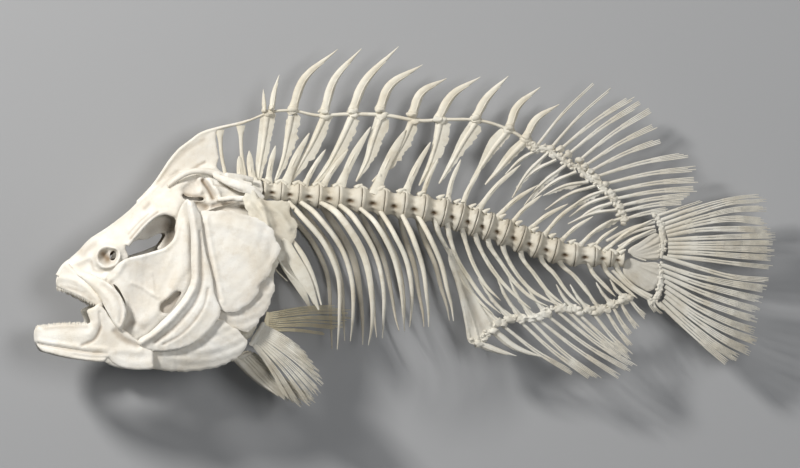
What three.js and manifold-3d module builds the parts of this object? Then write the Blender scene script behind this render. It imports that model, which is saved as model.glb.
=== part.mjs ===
// The skeleton of a large perch-like fish, lying on its right side with its mouth open.
// Millimetres. The bones are drawn in the fish's own frame: x runs from the snout to the tail,
// y from the belly to the back, and z from the right side to the left, with the fish's
// mid-plane at z = 0. The last group leans that frame by the few degrees at which the skeleton
// comes to rest on its right gill cover, its right cheek ridge and a rib, and lifts it onto
// the floor.

import * as THREE from "three";
import { mergeVertices } from "three/addons/utils/BufferGeometryUtils.js";
import Module from "manifold-3d";

const wasm = await Module();
wasm.setup();

// ---------------------------------------------------------------- driving dimensions

const CLEARANCE = 0.3; // between neighbouring bones
const PLATE = 1.6; // thickness of a gill cover plate
const RAY = 1.3; // side-to-side thickness of a soft fin ray
const SPINE = 4.4; // side-to-side thickness of a dorsal spine at its foot
const OFFSET = 1.6; // by which neighbouring fans of the mid-plane pass each other
const CENTRUM_WAIST = 0.74; // its waist, as a share of the rim
const HEAD_HALF_WIDTH = 42; // half the width across the gill covers
const HEAD_AXIS = -22; // height at which the head is widest
const HEAD_RISE = 104; // from there up to where the head's sides would meet
const HEAD_DROP = 106; // and down
const NOSTRIL = { x: -236, y: -18, z: 11, radius: 7.6, wall: 2.4 }; // the ring round it
const FAR = 200; // beyond every bone, for cuts that go right through
const REST = { roll: -0.0675, pitch: 0.0278, place: [-3.1, -7.1, 38.2] }; // radians and mm

// ---------------------------------------------------------------- solids

function solid(geometry) {
  const bare = new THREE.BufferGeometry();
  bare.setAttribute("position", geometry.getAttribute("position"));
  bare.setIndex(geometry.index);
  const merged = mergeVertices(bare, 1e-4);
  return new wasm.Manifold(
    new wasm.Mesh({
      numProp: 3,
      vertProperties: new Float32Array(merged.getAttribute("position").array),
      triVerts: new Uint32Array(merged.index.array),
    }),
  );
}

function joined(pieces) {
  return pieces.reduce((whole, piece) => whole.add(piece));
}

function geometryOf(manifold) {
  const mesh = manifold.getMesh();
  const geometry = new THREE.BufferGeometry();
  geometry.setAttribute("position", new THREE.BufferAttribute(mesh.vertProperties, mesh.numProp));
  geometry.setIndex(new THREE.BufferAttribute(mesh.triVerts, 1));
  geometry.computeVertexNormals();
  return geometry;
}

// A straight-sided block over an outline of the side view, between two lateral places.
function prism(outline, low, high) {
  const shape = new THREE.Shape(outline.map(([x, y]) => new THREE.Vector2(x, y)));
  const block = new THREE.ExtrudeGeometry(shape, { depth: high - low, bevelEnabled: false });
  block.translate(0, 0, low);
  return solid(block);
}

function cutThrough(outline) {
  return prism(outline, -FAR, FAR);
}

// ---------------------------------------------------------------- curves and bars

function curve(points) {
  const places = points.map(([x, y, z = 0]) => new THREE.Vector3(x, y, z));
  if (places.length === 2) return new THREE.LineCurve3(places[0], places[1]);
  return new THREE.CatmullRomCurve3(places, false, "centripetal");
}

// A height or a share that runs smoothly through a few places along the body.
function profile(points) {
  const places = points.map(([x]) => x);
  const values = points.map(([, value]) => value);
  const interpolant = new THREE.CubicInterpolant(places, values, 1);
  return (x) => interpolant.evaluate(THREE.MathUtils.clamp(x, places[0], places.at(-1)))[0];
}

// A value read from a short list of stations spread evenly from t = 0 to t = 1.
function along(stations, t) {
  const place = THREE.MathUtils.clamp(t, 0, 1) * (stations.length - 1);
  const i = Math.min(Math.floor(place), stations.length - 2);
  return THREE.MathUtils.lerp(stations[i], stations[i + 1], place - i);
}

const SIDEWAYS = new THREE.Vector3(0, 0, 1);

// A bone bar: a closed cylinder whose sections are carried along a curve. Its breadth lies in
// the side view and its thickness runs from side to side. Four sides make a bar with a keel
// down each face, as most fin rays and spines have; a boxed bar has flat faces instead.
function bar(line, { breadth, thick, sides = 4, steps = 3, boxed = false }) {
  const radius = boxed ? Math.SQRT2 : 1;
  const turn = boxed ? Math.PI / 4 : 0;
  const shape = new THREE.CylinderGeometry(radius, radius, 1, sides, steps, false, turn);
  const position = shape.getAttribute("position");
  const vertex = new THREE.Vector3();
  const across = new THREE.Vector3();
  const through = new THREE.Vector3();
  for (let i = 0; i < position.count; i += 1) {
    vertex.fromBufferAttribute(position, i);
    const t = 0.5 - vertex.y;
    const heading = line.getTangent(t);
    across.crossVectors(heading, SIDEWAYS).normalize();
    through.crossVectors(heading, across);
    const place = line.getPoint(t);
    place.addScaledVector(across, (vertex.x * along(breadth, t)) / 2);
    place.addScaledVector(through, (vertex.z * along(thick, t)) / 2);
    position.setXYZ(i, place.x, place.y, place.z);
  }
  return solid(shape);
}

// The curve of a bar from its foot to its tip. bow pushes its middle towards the snout and
// the back, as a share of its length, and offset moves its tip aside.
function bowed(foot, tip, bow, offset = 0) {
  const reach = new THREE.Vector3().subVectors(tip, foot);
  const middle = new THREE.Vector3().addVectors(foot, tip).multiplyScalar(0.5);
  middle.x -= reach.y * bow;
  middle.y += reach.x * bow;
  middle.z += offset;
  const end = tip.clone().setZ(tip.z + offset);
  return new THREE.CatmullRomCurve3([foot, middle, end], false, "centripetal");
}

// A row of like bars between two guide curves: one holds their feet and the other their tips.
function fan({ feet, tips, count, bow = 0, offset = 0, ...section }) {
  const bars = [];
  for (let i = 0; i < count; i += 1) {
    const u = i / (count - 1);
    bars.push(bar(bowed(feet.getPoint(u), tips.getPoint(u), bow, offset), section));
  }
  return bars;
}

// ---------------------------------------------------------------- the head's side

const headShare = profile([
  [-304, 0.2],
  [-272, 0.42],
  [-232, 0.66],
  [-192, 0.84],
  [-152, 0.97],
  [-120, 1],
  [-80, 0.9],
  [-32, 0.74],
]);

// Half the head's width at a place in the side view.
function headHalfWidth(x, y) {
  const reach = y > HEAD_AXIS ? HEAD_RISE : HEAD_DROP;
  const share = Math.min(Math.abs(y - HEAD_AXIS) / reach, 0.97);
  return HEAD_HALF_WIDTH * headShare(x) * (1 - share ** 3) ** 0.6;
}

// The surface that a head plate follows: lifted off the head's side by lift, and drawn in
// below the axis by up to tuck.
function onHead(lift, tuck = 0) {
  return (x, y) => {
    const below = Math.max(0, (HEAD_AXIS - y) / HEAD_DROP);
    return headHalfWidth(x, y) + lift - tuck * below ** 1.5;
  };
}

// A thin bone plate over a surface z = surface(x, y), cut to an outline.
function plate(outline, { surface, thick = PLATE, cells = [3, 3], holes = [] }) {
  const box = new THREE.Box2().setFromPoints(outline.map(([x, y]) => new THREE.Vector2(x, y)));
  const size = box.getSize(new THREE.Vector2()).addScalar(2);
  const centre = box.getCenter(new THREE.Vector2());
  const sheet = new THREE.BoxGeometry(size.x, size.y, thick, cells[0], cells[1], 1);
  sheet.translate(centre.x, centre.y, 0);
  const position = sheet.getAttribute("position");
  for (let i = 0; i < position.count; i += 1) {
    const height = surface(position.getX(i), position.getY(i));
    position.setZ(i, position.getZ(i) + height);
  }
  const cut = solid(sheet).intersect(cutThrough(outline));
  return holes.reduce((left, hole) => left.subtract(cutThrough(hole)), cut);
}

// ---------------------------------------------------------------- backbone

const JOINTS = [
  -110, -96, -82, -66, -50, -32, -14, 2, 18, 34,
  47, 59, 70, 83, 96, 109, 123, 139, 155, 168, 178,
];
const TRUNK_JOINTS = 10;

const backboneHeight = profile([
  [-110, 35], [-72, 31], [-40, 28], [-6, 24], [34, 17], [70, 6],
  [102, -6], [131, -15], [161, -18], [184, -21],
]);
const centrumRadius = profile([
  [-110, 8.5],
  [-72, 10],
  [-40, 11.2],
  [8, 12],
  [90, 11.6],
  [131, 10.4],
  [161, 8.6],
  [184, 6],
]);

// The vertebrae's bodies from one joint to another, with a thin cut at each end.
function centra(first, last) {
  const line = curve(JOINTS.map((x) => [x, backboneHeight(x)]));
  const rings = JOINTS.flatMap((x, i) => {
    const rim = 2 * centrumRadius(x);
    return i === JOINTS.length - 1 ? [rim] : [rim, rim * CENTRUM_WAIST];
  });
  const column = bar(line, { breadth: rings, thick: rings, sides: 8, steps: rings.length - 1 });
  const start = JOINTS[first] + CLEARANCE;
  const end = JOINTS[last] - CLEARANCE;
  return column.intersect(cutThrough([[start, -FAR], [end, -FAR], [end, FAR], [start, FAR]]));
}

// Spines that grow out of the vertebrae, given by the place of the foot along the body, the
// tip, and the breadth at mid-length. They start inside the vertebra's body.
function neuralSpines(rows, bow, steps) {
  return rows.map(([footX, tipX, tipY, breadth]) => {
    const inside = backboneHeight(footX) + centrumRadius(footX) * 0.6;
    const tip = new THREE.Vector3(tipX, tipY, 0);
    return bar(bowed(new THREE.Vector3(footX, inside, 0), tip, bow, OFFSET), {
      breadth: [breadth + 3, breadth, 1.4],
      thick: [6, 2.4, 1.2],
      sides: 3,
      steps,
    });
  });
}

const neuralTrunk = [
  [-106, -100, 70, 4],
  [-93, -73, 80, 6],
  [-64, -42, 66, 4],
  [-50, -24, 85, 6],
  [-21, 4, 83, 8],
  [2, 24, 73, 5],
  [16, 30, 59, 3],
];
const neuralTail = [
  [37, 48, 59, 4],
  [48, 64, 51, 4],
  [59, 96, 55, 4],
  [74, 110, 39, 3.6],
  [86, 113, 31, 3.4],
  [99, 134, 24, 3.4],
  [112, 144, 27, 3.2],
  [125, 154, 14, 3.2],
  [141, 170, 12, 3.2],
  [152, 174, 6, 3],
  [162, 203, 12, 3],
  [171, 203, 4, 2.6],
];
const haemalFeet = curve([[38, 13], [72, 0], [117, -15], [174, -22]]);
const haemalTips = curve([[72, -66], [112, -58], [147, -54], [198, -50]]);

// The space below a line that follows the trunk's backbone, between two lateral places. The
// ribs hang from the lower half of the vertebrae's bodies, which is part of their own node.
const RIB_LINE = -2; // below the backbone's axis
function underRibLine(gap, low, high) {
  const heights = [0, 3, 6, 9].map((i) => [JOINTS[i], backboneHeight(JOINTS[i]) + RIB_LINE + gap]);
  const [frontX, frontY] = heights[0];
  const [rearX, rearY] = heights.at(-1);
  const outline = [[frontX - 20, -FAR], [rearX + 20, -FAR], [rearX + 20, rearY]];
  outline.push(...heights.reverse(), [frontX - 20, frontY]);
  return prism(outline, low, high);
}

function trunkSpine() {
  const upper = centra(0, TRUNK_JOINTS - 1).subtract(underRibLine(CLEARANCE / 2, -FAR, FAR));
  return joined([upper, ...neuralSpines(neuralTrunk, 0.06, 2)]);
}

// Each rib: its head at the vertebra, its shoulder, its belly and its tip, on the left side.
const ribs = [
  [[-90, 28, 4], [-78, 10, 35], [-61, -18, 37], [-53, -57, 34], [-53, -92, 18]],
  [[-79, 26, 4], [-67, 10, 37], [-50, -18, 39], [-43, -57, 36], [-42, -85, 19]],
  [[-63, 26, 4], [-48, 8, 38], [-33, -19, 40], [-28, -59, 37], [-28, -88, 19]],
  [[-48, 24, 4], [-37, 7, 38], [-24, -19, 39], [-18, -58, 36], [-17, -82, 19]],
  [[-32, 22, 4], [-22, 4, 35], [-9, -24, 35], [-2, -58, 32], [1, -77, 18]],
  [[-15, 20, 4], [-9, -2, 31], [-1, -24, 31], [5, -54, 28], [5, -74, 17]],
  [[1, 18, 4], [6, -4, 27], [12, -24, 26], [19, -54, 23], [21, -74, 15]],
  [[14, 15, 4], [19, -2, 21], [27, -19, 20], [37, -48, 18], [41, -69, 13]],
];

function ribCage() {
  const section = { breadth: [7, 6, 5.2, 4, 1.6], thick: [4, 3, 2.6, 2, 1.2], sides: 3, steps: 4 };
  const bars = ribs.map((points) => bar(curve(points), section));
  const leftHalf = underRibLine(-CLEARANCE / 2, CLEARANCE / 2, FAR);
  return joined([centra(0, TRUNK_JOINTS - 1), ...bars]).intersect(leftHalf);
}

// A stretch of the tail's backbone with its share of the fan of haemal spines.
function tailSpine({ joints, neural, haemal }) {
  const below = fan({
    feet: haemalFeet,
    tips: haemalTips,
    count: 12,
    bow: -0.07,
    offset: OFFSET,
    breadth: [6, 1.6],
    thick: [4.4, 1.2],
    sides: 3,
    steps: 1,
  }).slice(...haemal);
  const above = neuralSpines(neuralTail.slice(...neural), 0.03, 1);
  return joined([centra(...joints), ...above, ...below]);
}

// ---------------------------------------------------------------- dorsal fin

const SPINY_BASE = [
  [-118, 91], [-106, 96], [-88, 98], [-66, 94], [-44, 95], [-10, 94], [14, 90],
  [40, 91], [64, 90], [84, 84], [102, 74],
];
const spinyBase = curve(SPINY_BASE);
const spinyHeight = profile(SPINY_BASE);
const softBase = curve([[103, 72], [118, 66], [132, 58], [144, 50], [160, 40], [171, 26], [181, 10]]);

// Dorsal spines: foot along the base, tip, and breadth at the foot.
const dorsalSpines = [
  [-109, -110, 115, 5],
  [-102, -97, 126, 5.5],
  [-86, -50, 146, 8],
  [-61, -31, 147, 8],
  [-39, -2, 149, 8.5],
  [-17, 18, 134, 9],
  [10, 37, 124, 8],
  [30, 64, 125, 8.5],
  [60, 86, 126, 7.5],
  [87, 112, 117, 7.5],
  [99, 127, 103, 7],
];

// The bones that carry the spines: top on the base, lower tip, and breadth at the top.
const spinyCarriers = [
  [-107, -110, 46, 14],
  [-86, -98, 43, 11],
  [-56, -82, 45, 13],
  [-34, -61, 46, 15],
  [-12, -36, 45, 12],
  [11, -16, 48, 9],
  [35, 16, 39, 14],
  [64, 34, 40, 13],
  [86, 56, 42, 9],
  [100, 72, 41, 8],
];

function spinyDorsal() {
  const base = bar(spinyBase, {
    breadth: [3, 4, 4.4, 4.4],
    thick: [4, 5, 5, 5],
    steps: 8,
    boxed: true,
  });
  const spines = dorsalSpines.map(([footX, tipX, tipY, breadth]) => {
    const foot = new THREE.Vector3(footX, spinyHeight(footX), 0);
    const line = bowed(foot, new THREE.Vector3(tipX, tipY, 0), 0.1);
    return bar(line, {
      breadth: [breadth, breadth * 0.75, breadth * 0.45, 1.2],
      thick: [SPINE, SPINE * 0.8, SPINE * 0.5, 1.2],
      sides: 3,
    });
  });
  const carriers = spinyCarriers.map(([topX, tipX, tipY, breadth]) => {
    const top = new THREE.Vector3(topX, spinyHeight(topX), 0);
    const line = bowed(top, new THREE.Vector3(tipX, tipY, 0), -0.08, -OFFSET);
    return bar(line, {
      breadth: [breadth, breadth * 0.6, 1.6],
      thick: [3.6, 2.2, 1.2],
      sides: 3,
      steps: 2,
    });
  });
  return joined([base, ...spines, ...carriers]);
}

function softDorsal() {
  const base = bar(softBase, {
    breadth: [4.4, 6, 6, 6, 4.4],
    thick: [5, 5, 5, 4.6, 4],
    steps: 6,
    boxed: true,
  });
  const carriers = fan({
    feet: curve([[108, 70], [137, 55], [166, 33], [178, 14]]),
    tips: curve([[86, 46], [103, 24], [130, 16], [154, 0]]),
    count: 12,
    bow: -0.05,
    offset: -OFFSET,
    breadth: [4.6, 1.4],
    thick: [3, 1.2],
    sides: 3,
    steps: 1,
  });
  const rays = fan({
    feet: curve([[108, 70], [128, 61], [148, 48], [160, 40], [171, 26], [177, 18], [181, 10]]),
    tips: curve([[157, 122], [187, 110], [204, 94], [209, 74], [235, 54], [238, 38], [227, 25]]),
    count: 14,
    bow: 0.02,
    breadth: [3.6, 4.6, 2.8],
    thick: [2.4, RAY, 0.8],
    sides: 3,
    steps: 2,
  });
  return joined([base, ...carriers, ...rays]);
}

// ---------------------------------------------------------------- anal fin

function analFin() {
  const base = bar(curve([[59, -86], [78, -72], [116, -63], [128, -60], [152, -62], [178, -54]]), {
    breadth: [6.4, 6.4, 6, 6, 5],
    thick: [5, 5, 5, 4.6, 4],
    steps: 5,
    boxed: true,
  });
  const strut = bar(curve([[38, -10], [45, -37], [53, -62], [62, -86]]), {
    breadth: [6, 11, 15, 13],
    thick: [3, 4.4, 5, 6],
    steps: 4,
  });
  const carriers = fan({
    feet: curve([[78, -72], [116, -63], [152, -62], [176, -54]]),
    tips: curve([[61, -37], [98, -38], [138, -40], [170, -36]]),
    count: 11,
    bow: 0.04,
    offset: -OFFSET,
    breadth: [4.6, 1.4],
    thick: [3, 1.2],
    sides: 3,
    steps: 1,
  });
  const spines = [
    bar(curve([[58, -85], [73, -91], [93, -97]]), { breadth: [6, 4, 1.2], thick: [4, 3, 1.2] }),
    bar(curve([[73, -75], [90, -87], [115, -98]]), { breadth: [9, 8.5, 1.2], thick: [5, 4, 1.2] }),
  ];
  const rays = fan({
    feet: curve([[82, -71], [108, -66], [132, -62], [165, -60], [177, -54]]),
    tips: curve([[138, -110], [173, -114], [187, -104], [186, -90], [197, -66]]),
    count: 13,
    bow: -0.03,
    breadth: [3.2, 4, 2.4],
    thick: [2.4, RAY, 0.8],
    sides: 3,
    steps: 2,
  });
  return joined([base, strut, ...carriers, ...spines, ...rays]);
}

// ---------------------------------------------------------------- tail fin

function tailFin(hypural, feet, tips, count) {
  const rays = fan({
    feet,
    tips,
    count,
    bow: 0,
    breadth: [3, 4.4, 5.6, 3],
    thick: [2.6, 1.8, RAY, 0.8],
    sides: 3,
    steps: 3,
  });
  return joined([prism(hypural, -1.5, 1.5), ...rays]);
}

const upperTail = () =>
  tailFin(
    [[184, -12], [194, -6], [205, 2], [210, 12], [215, 6], [218, -5], [218, -19], [184, -19]],
    curve([[208, 12], [212, 4], [215, -3], [217, -10], [217, -18]]),
    curve([[276, 30], [294, 22], [299, 5], [302, -8], [300, -22]]),
    10,
  );
const lowerTail = () =>
  tailFin(
    [[182, -21], [218, -21], [218, -33], [217, -45], [214, -57], [206, -51], [195, -40], [187, -30]],
    curve([[216, -22], [215, -33], [214, -44], [211, -54]]),
    curve([[296, -38], [290, -58], [286, -82], [270, -103]]),
    10,
  );

// ---------------------------------------------------------------- skull

// The long loft from the snout over the brow to the back of the braincase.
function braincase() {
  const axis = curve([
    [-256, -25], [-243, -18], [-229, -7], [-213, 6], [-200, 21], [-186, 30], [-171, 34],
    [-152, 35], [-130, 36], [-111, 36],
  ]);
  return bar(axis, {
    breadth: [9, 23, 29, 26, 27, 30, 27, 22, 17, 13],
    thick: [6, 15, 20, 23, 28, 40, 44, 40, 28, 15],
    sides: 8,
    steps: 9,
  });
}

// The thin upright plates of the mid-plane: the crest on top, and the septum between the eyes.
function crest() {
  const outline = [
    [-200, 23], [-160, 35], [-141, 42], [-147, 54], [-146, 63], [-147, 77], [-141, 82], [-121, 89],
    [-122, 92], [-142, 87], [-160, 80], [-176, 68], [-184, 59], [-195, 43], [-200, 34], [-224, 10],
  ];
  return prism(outline, -1.3, 1.3);
}

function septum() {
  const outline = [
    [-210, -6], [-200, -5], [-191, -3], [-187, -12], [-175, -2], [-166, 18], [-192, 22], [-214, 6],
  ];
  return prism(outline, -1.5, 1.5);
}

function skull() {
  const underEyes = curve([[-237, -22], [-200, -14], [-168, 8], [-128, 29]]);
  const keel = bar(underEyes, { breadth: [5, 4, 4, 8], thick: [8, 5, 5, 8], steps: 4 });
  const pieces = [braincase(), crest(), septum(), keel];
  for (const side of [1, -1]) {
    const overEar = [[-203, 21, 12], [-182, 35, 20], [-158, 42, 22], [-137, 41, 20]];
    const ridge = curve(overEar.map(([x, y, z]) => [x, y, z * side]));
    pieces.push(bar(ridge, { breadth: [5, 9, 9, 7, 4], thick: [5, 7, 7, 6, 4], steps: 4 }));
    const ring = new THREE.TorusGeometry(NOSTRIL.radius, NOSTRIL.wall, 4, 8);
    ring.translate(NOSTRIL.x, NOSTRIL.y, NOSTRIL.z * side);
    pieces.push(solid(ring));
  }
  return joined(pieces);
}

// ---------------------------------------------------------------- jaws

function upperJaw() {
  const toothed = bar(
    curve([[-272, -34, 2.5], [-270, -37, 9], [-263, -40, 15], [-254, -46, 20], [-245, -54, 25]]),
    { breadth: [14, 15, 12, 10, 3], thick: [4, 5, 4.4, 3.6, 2], sides: 5, steps: 4 },
  );
  const ascending = bar(curve([[-271, -34, 3], [-255, -10, 3.4]]), {
    breadth: [14, 9],
    thick: [4, 3],
    steps: 1,
  });
  const maxilla = bar(
    curve([[-255, -29, 15], [-244, -36, 21], [-235, -46, 27], [-229, -58, 31], [-231, -72, 33]]),
    { breadth: [8, 6, 7, 8, 10], thick: [4, 3.4, 3, 3, 2.4], steps: 4 },
  );
  const bridge = bar(curve([[-262, -35, 13], [-253, -30, 16]]), {
    breadth: [8, 7],
    thick: [4, 4],
    steps: 1,
  });
  return joined([toothed, ascending, maxilla, bridge]);
}

function lowerJaw() {
  const dentary = bar(
    curve([[-291, -82, 2], [-289, -83, 9], [-282, -85, 15], [-263, -86, 22], [-240, -87, 27.5]]),
    { breadth: [19, 22, 24, 27, 27], thick: [5, 6, 5, 4, 3.4], sides: 6, steps: 5 },
  );
  const rearOutline = [
    [-255, -99], [-238, -98], [-219, -106], [-203, -106], [-203, -94], [-211, -86],
    [-229, -74], [-240, -58], [-247, -60], [-254, -63], [-259, -75],
  ];
  const rear = plate(rearOutline, {
    surface: (x) => 22 + (x + 260) * 0.08, // spreads towards the joint with the cheek
    thick: 2.6,
    cells: [1, 1],
  });
  return joined([dentary, rear]);
}

// The bones of the throat: the tongue bone, the two hyoid bars that spread back from it to
// the inside of the cheeks, and the keel bone between the gill covers.
function throat() {
  const tongue = bar(curve([[-253, -87], [-230, -91]]), {
    breadth: [4, 8],
    thick: [5, 8],
    sides: 6,
    steps: 1,
  });
  const keelOutline = [[-224, -98], [-160, -100], [-149, -94], [-156, -88], [-224, -93], [-234, -90]];
  const pieces = [tongue, prism(keelOutline, -1, 1)];
  for (const side of [1, -1]) {
    const hyoid = [[-235, -90, 0], [-219, -87, 12], [-192, -77, 21], [-173, -66, 25]];
    const line = curve(hyoid.map(([x, y, z]) => [x, y, z * side]));
    pieces.push(bar(line, { breadth: [8, 10, 12, 6], thick: [4, 4, 4, 3], steps: 3 }));
  }
  return joined(pieces);
}

// ---------------------------------------------------------------- cheek and gill cover

const cheek = () =>
  plate(
    [
      [-231, -38], [-222, -53], [-223, -77], [-214, -88], [-202, -80], [-178, -58], [-166, -41],
      [-164, -13], [-165, 22], [-174, 28], [-183, 21], [-182, 3], [-190, -10], [-208, -17],
      [-227, -22], [-241, -30], [-250, -26],
    ],
    {
      surface: onHead(-5),
      thick: 2,
      cells: [2, 3],
      holes: [[[-187, -62], [-178, -46], [-181, -46], [-192, -54], [-194, -62]]],
    },
  );

const preopercle = () =>
  plate(
    [
      [-171, 13], [-171, -38], [-179, -54], [-193, -69], [-211, -84], [-207, -91], [-186, -92],
      [-166, -85], [-158, -75], [-149, -60], [-154, -45], [-158, -26], [-162, -3], [-165, 19],
      [-172, 26],
    ],
    { surface: onHead(3.2), thick: 3, cells: [2, 3] },
  );

const opercle = () =>
  plate(
    [
      [-162, -5], [-157, -29], [-150, -55], [-142, -62], [-131, -58], [-118, -46], [-114, -36],
      [-106, -22], [-100, -12], [-106, -4], [-110, 7], [-122, 14], [-142, 18], [-162, 17],
    ],
    { surface: onHead(0), cells: [2, 3] },
  );

const subopercle = () =>
  plate(
    [
      [-124, -45], [-146, -58], [-146, -67], [-132, -76], [-124, -76], [-116, -66], [-108, -54],
      [-106, -43], [-110, -30],
    ],
    { surface: onHead(-3.4), cells: [2, 2] },
  );

const interopercle = () =>
  plate(
    [
      [-166, -82], [-184, -90], [-202, -94], [-202, -104], [-192, -108], [-159, -107], [-135, -99],
      [-126, -88], [-127, -83], [-142, -70], [-154, -70],
    ],
    { surface: onHead(-1.2), cells: [2, 2] },
  );

// ---------------------------------------------------------------- shoulder and paired fins

function shoulder() {
  const girdle = plate(
    [
      [-124, 18], [-118, -13], [-119, -50], [-127, -73], [-138, -94], [-133, -97], [-126, -86],
      [-119, -77], [-114, -61], [-106, -46], [-102, -26], [-92, -11], [-86, 3], [-92, 17],
      [-92, 25], [-114, 28], [-126, 37],
    ],
    { surface: onHead(-8, 26), thick: 2, cells: [1, 4] },
  );
  const link = bar(curve([[-146, 44, 31], [-131, 38, 29], [-116, 30, 24]]), {
    breadth: [7, 8, 8],
    thick: [3, 3, 3.4],
    steps: 2,
  });
  const behind = bar(curve([[-98, -2, 30], [-85, -26, 31], [-74, -45, 30], [-68, -58, 27]]), {
    breadth: [8, 8, 6, 2],
    thick: [2.4, 2.2, 2, 1.2],
    steps: 4,
  });
  return joined([girdle, link, behind]);
}

// A paired fin: a short root bone and rays spread from it.
function pairedFin({ root, feet, tips, count, lead }) {
  const rays = fan({ feet, tips, count, breadth: [2, 2.4], thick: [2, RAY], sides: 3, steps: 1 });
  const pieces = [bar(root, { breadth: [5, 5], thick: [4, 4], steps: 1 }), ...rays];
  if (lead) pieces.push(bar(lead, { breadth: [5, 4.4, 1.4], thick: [3.4, 3, 1.2], steps: 2 }));
  return joined(pieces);
}

const leftPectoral = () =>
  pairedFin({
    root: curve([[-113, -72, 26], [-120, -86, 22]]),
    feet: curve([[-114, -74, 26], [-117, -80, 25], [-122, -86, 22]]),
    tips: curve([[-69, -107, 28], [-67, -123, 25], [-85, -131, 18]]),
    count: 8,
  });
const rightPectoral = () =>
  pairedFin({
    root: curve([[-103, -64, -24], [-104, -77, -24]]),
    feet: curve([[-104, -64, -24], [-104, -70, -24], [-104, -76, -24]]),
    tips: curve([[-45, -58, -22], [-32, -66, -22], [-53, -78, -22]]),
    count: 6,
  });
const pelvic = () =>
  pairedFin({
    root: curve([[-134, -100, 6], [-120, -94, 10]]),
    feet: curve([[-129, -99, 7], [-121, -94, 10]]),
    tips: curve([[-95, -128, 9], [-75, -134, 13]]),
    count: 5,
    lead: curve([[-131, -98, 7], [-117, -114, 7], [-101, -127, 7]]),
  });

// ---------------------------------------------------------------- assembly

const fish = new THREE.Group();
fish.rotation.set(REST.roll, REST.pitch, 0);
fish.position.set(...REST.place);
fish.updateMatrix();

// The floor in the fish's own frame. Bones that press on it are worn flat there.
const floorBlock = new THREE.BoxGeometry(900, 600, 60).translate(0, 0, -30);
floorBlock.applyMatrix4(fish.matrix.clone().invert());
const floor = solid(floorBlock);

// The same bone of the fish's right side.
function mirrored(manifold) {
  const geometry = geometryOf(manifold).scale(1, 1, -1);
  const order = geometry.index.array;
  for (let i = 0; i < order.length; i += 3) [order[i], order[i + 1]] = [order[i + 1], order[i]];
  return solid(geometry);
}

function bone(name, manifold, colour) {
  const material = new THREE.MeshStandardMaterial({ color: colour, roughness: 0.6, metalness: 0 });
  const mesh = new THREE.Mesh(geometryOf(manifold.subtract(floor)), material);
  mesh.name = name;
  fish.add(mesh);
}

function pair(name, manifold, colour) {
  bone(`${name}_left`, manifold, colour);
  bone(`${name}_right`, mirrored(manifold), colour);
}

const WHITE = 0xece6dc;
const IVORY = 0xcfc4ab;
const GREY = 0xc9c4b8;
const TAN = 0xb3a284;

bone("skull", skull(), WHITE);
pair("upper_jaw", upperJaw(), WHITE);
pair("lower_jaw", lowerJaw(), WHITE);
bone("throat", throat(), IVORY);
pair("cheek", cheek(), WHITE);
pair("preopercle", preopercle(), WHITE);
pair("opercle", opercle(), WHITE);
pair("subopercle", subopercle(), WHITE);
pair("interopercle", interopercle(), WHITE);
pair("shoulder", shoulder(), IVORY);
bone("pectoral_fin_left", leftPectoral(), GREY);
bone("pectoral_fin_right", rightPectoral(), TAN);
pair("pelvic_fin", pelvic(), GREY);
bone("spine_trunk", trunkSpine(), IVORY);
pair("ribs", ribCage(), IVORY);
bone("spine_tail_front", tailSpine({ joints: [9, 15], neural: [0, 6], haemal: [0, 7] }), IVORY);
bone("spine_tail_rear", tailSpine({ joints: [15, 20], neural: [6, 12], haemal: [7, 12] }), IVORY);
bone("dorsal_fin_spiny", spinyDorsal(), IVORY);
bone("dorsal_fin_soft", softDorsal(), GREY);
bone("anal_fin", analFin(), GREY);
bone("tail_fin_upper", upperTail(), GREY);
bone("tail_fin_lower", lowerTail(), GREY);

const skeleton = new THREE.Group();
skeleton.add(fish);
export default skeleton;
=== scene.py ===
# %% [markdown]
# # A fish skeleton that lies on its side
# A dried skeleton is many thin bones that overlap, fork and fan out. No one shape fits them
# all, so the lesson uses three ways to make a bone: a bar swept along a line, a plate cut to
# an outline, and a skull grown together from both. The rest is loops over tables of places.
# The frame is loaded first, because every bone stands for a solid of it.

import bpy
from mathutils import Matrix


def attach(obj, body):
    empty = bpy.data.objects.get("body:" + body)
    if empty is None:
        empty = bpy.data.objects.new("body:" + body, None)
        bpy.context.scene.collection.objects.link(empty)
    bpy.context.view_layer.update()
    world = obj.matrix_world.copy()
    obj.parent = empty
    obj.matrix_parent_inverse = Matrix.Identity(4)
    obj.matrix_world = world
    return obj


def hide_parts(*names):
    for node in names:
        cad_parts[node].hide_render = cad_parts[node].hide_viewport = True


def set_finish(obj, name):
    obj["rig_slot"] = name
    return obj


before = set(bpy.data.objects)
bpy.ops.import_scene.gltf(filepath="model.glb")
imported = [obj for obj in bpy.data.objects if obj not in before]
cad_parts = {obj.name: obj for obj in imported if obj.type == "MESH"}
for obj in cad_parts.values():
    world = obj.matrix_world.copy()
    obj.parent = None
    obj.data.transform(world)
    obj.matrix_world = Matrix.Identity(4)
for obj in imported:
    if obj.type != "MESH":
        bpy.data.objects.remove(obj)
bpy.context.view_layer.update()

# %% [markdown]
# The tools of the trade: bmesh models, numpy works out places, and mathutils turns them.

# %% Imports
import math
import random

import bmesh
import bpy
import numpy as np
from mathutils import Matrix, Vector, noise

# %% [markdown]
# Bones are drawn in the fish's own frame, in millimetres: x from snout to tail, y from belly
# to back, z from the right side to the left. A whole skeleton laid on a floor leans a little,
# so one matrix lays every finished bone down. It holds the same lean as the solids.

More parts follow.
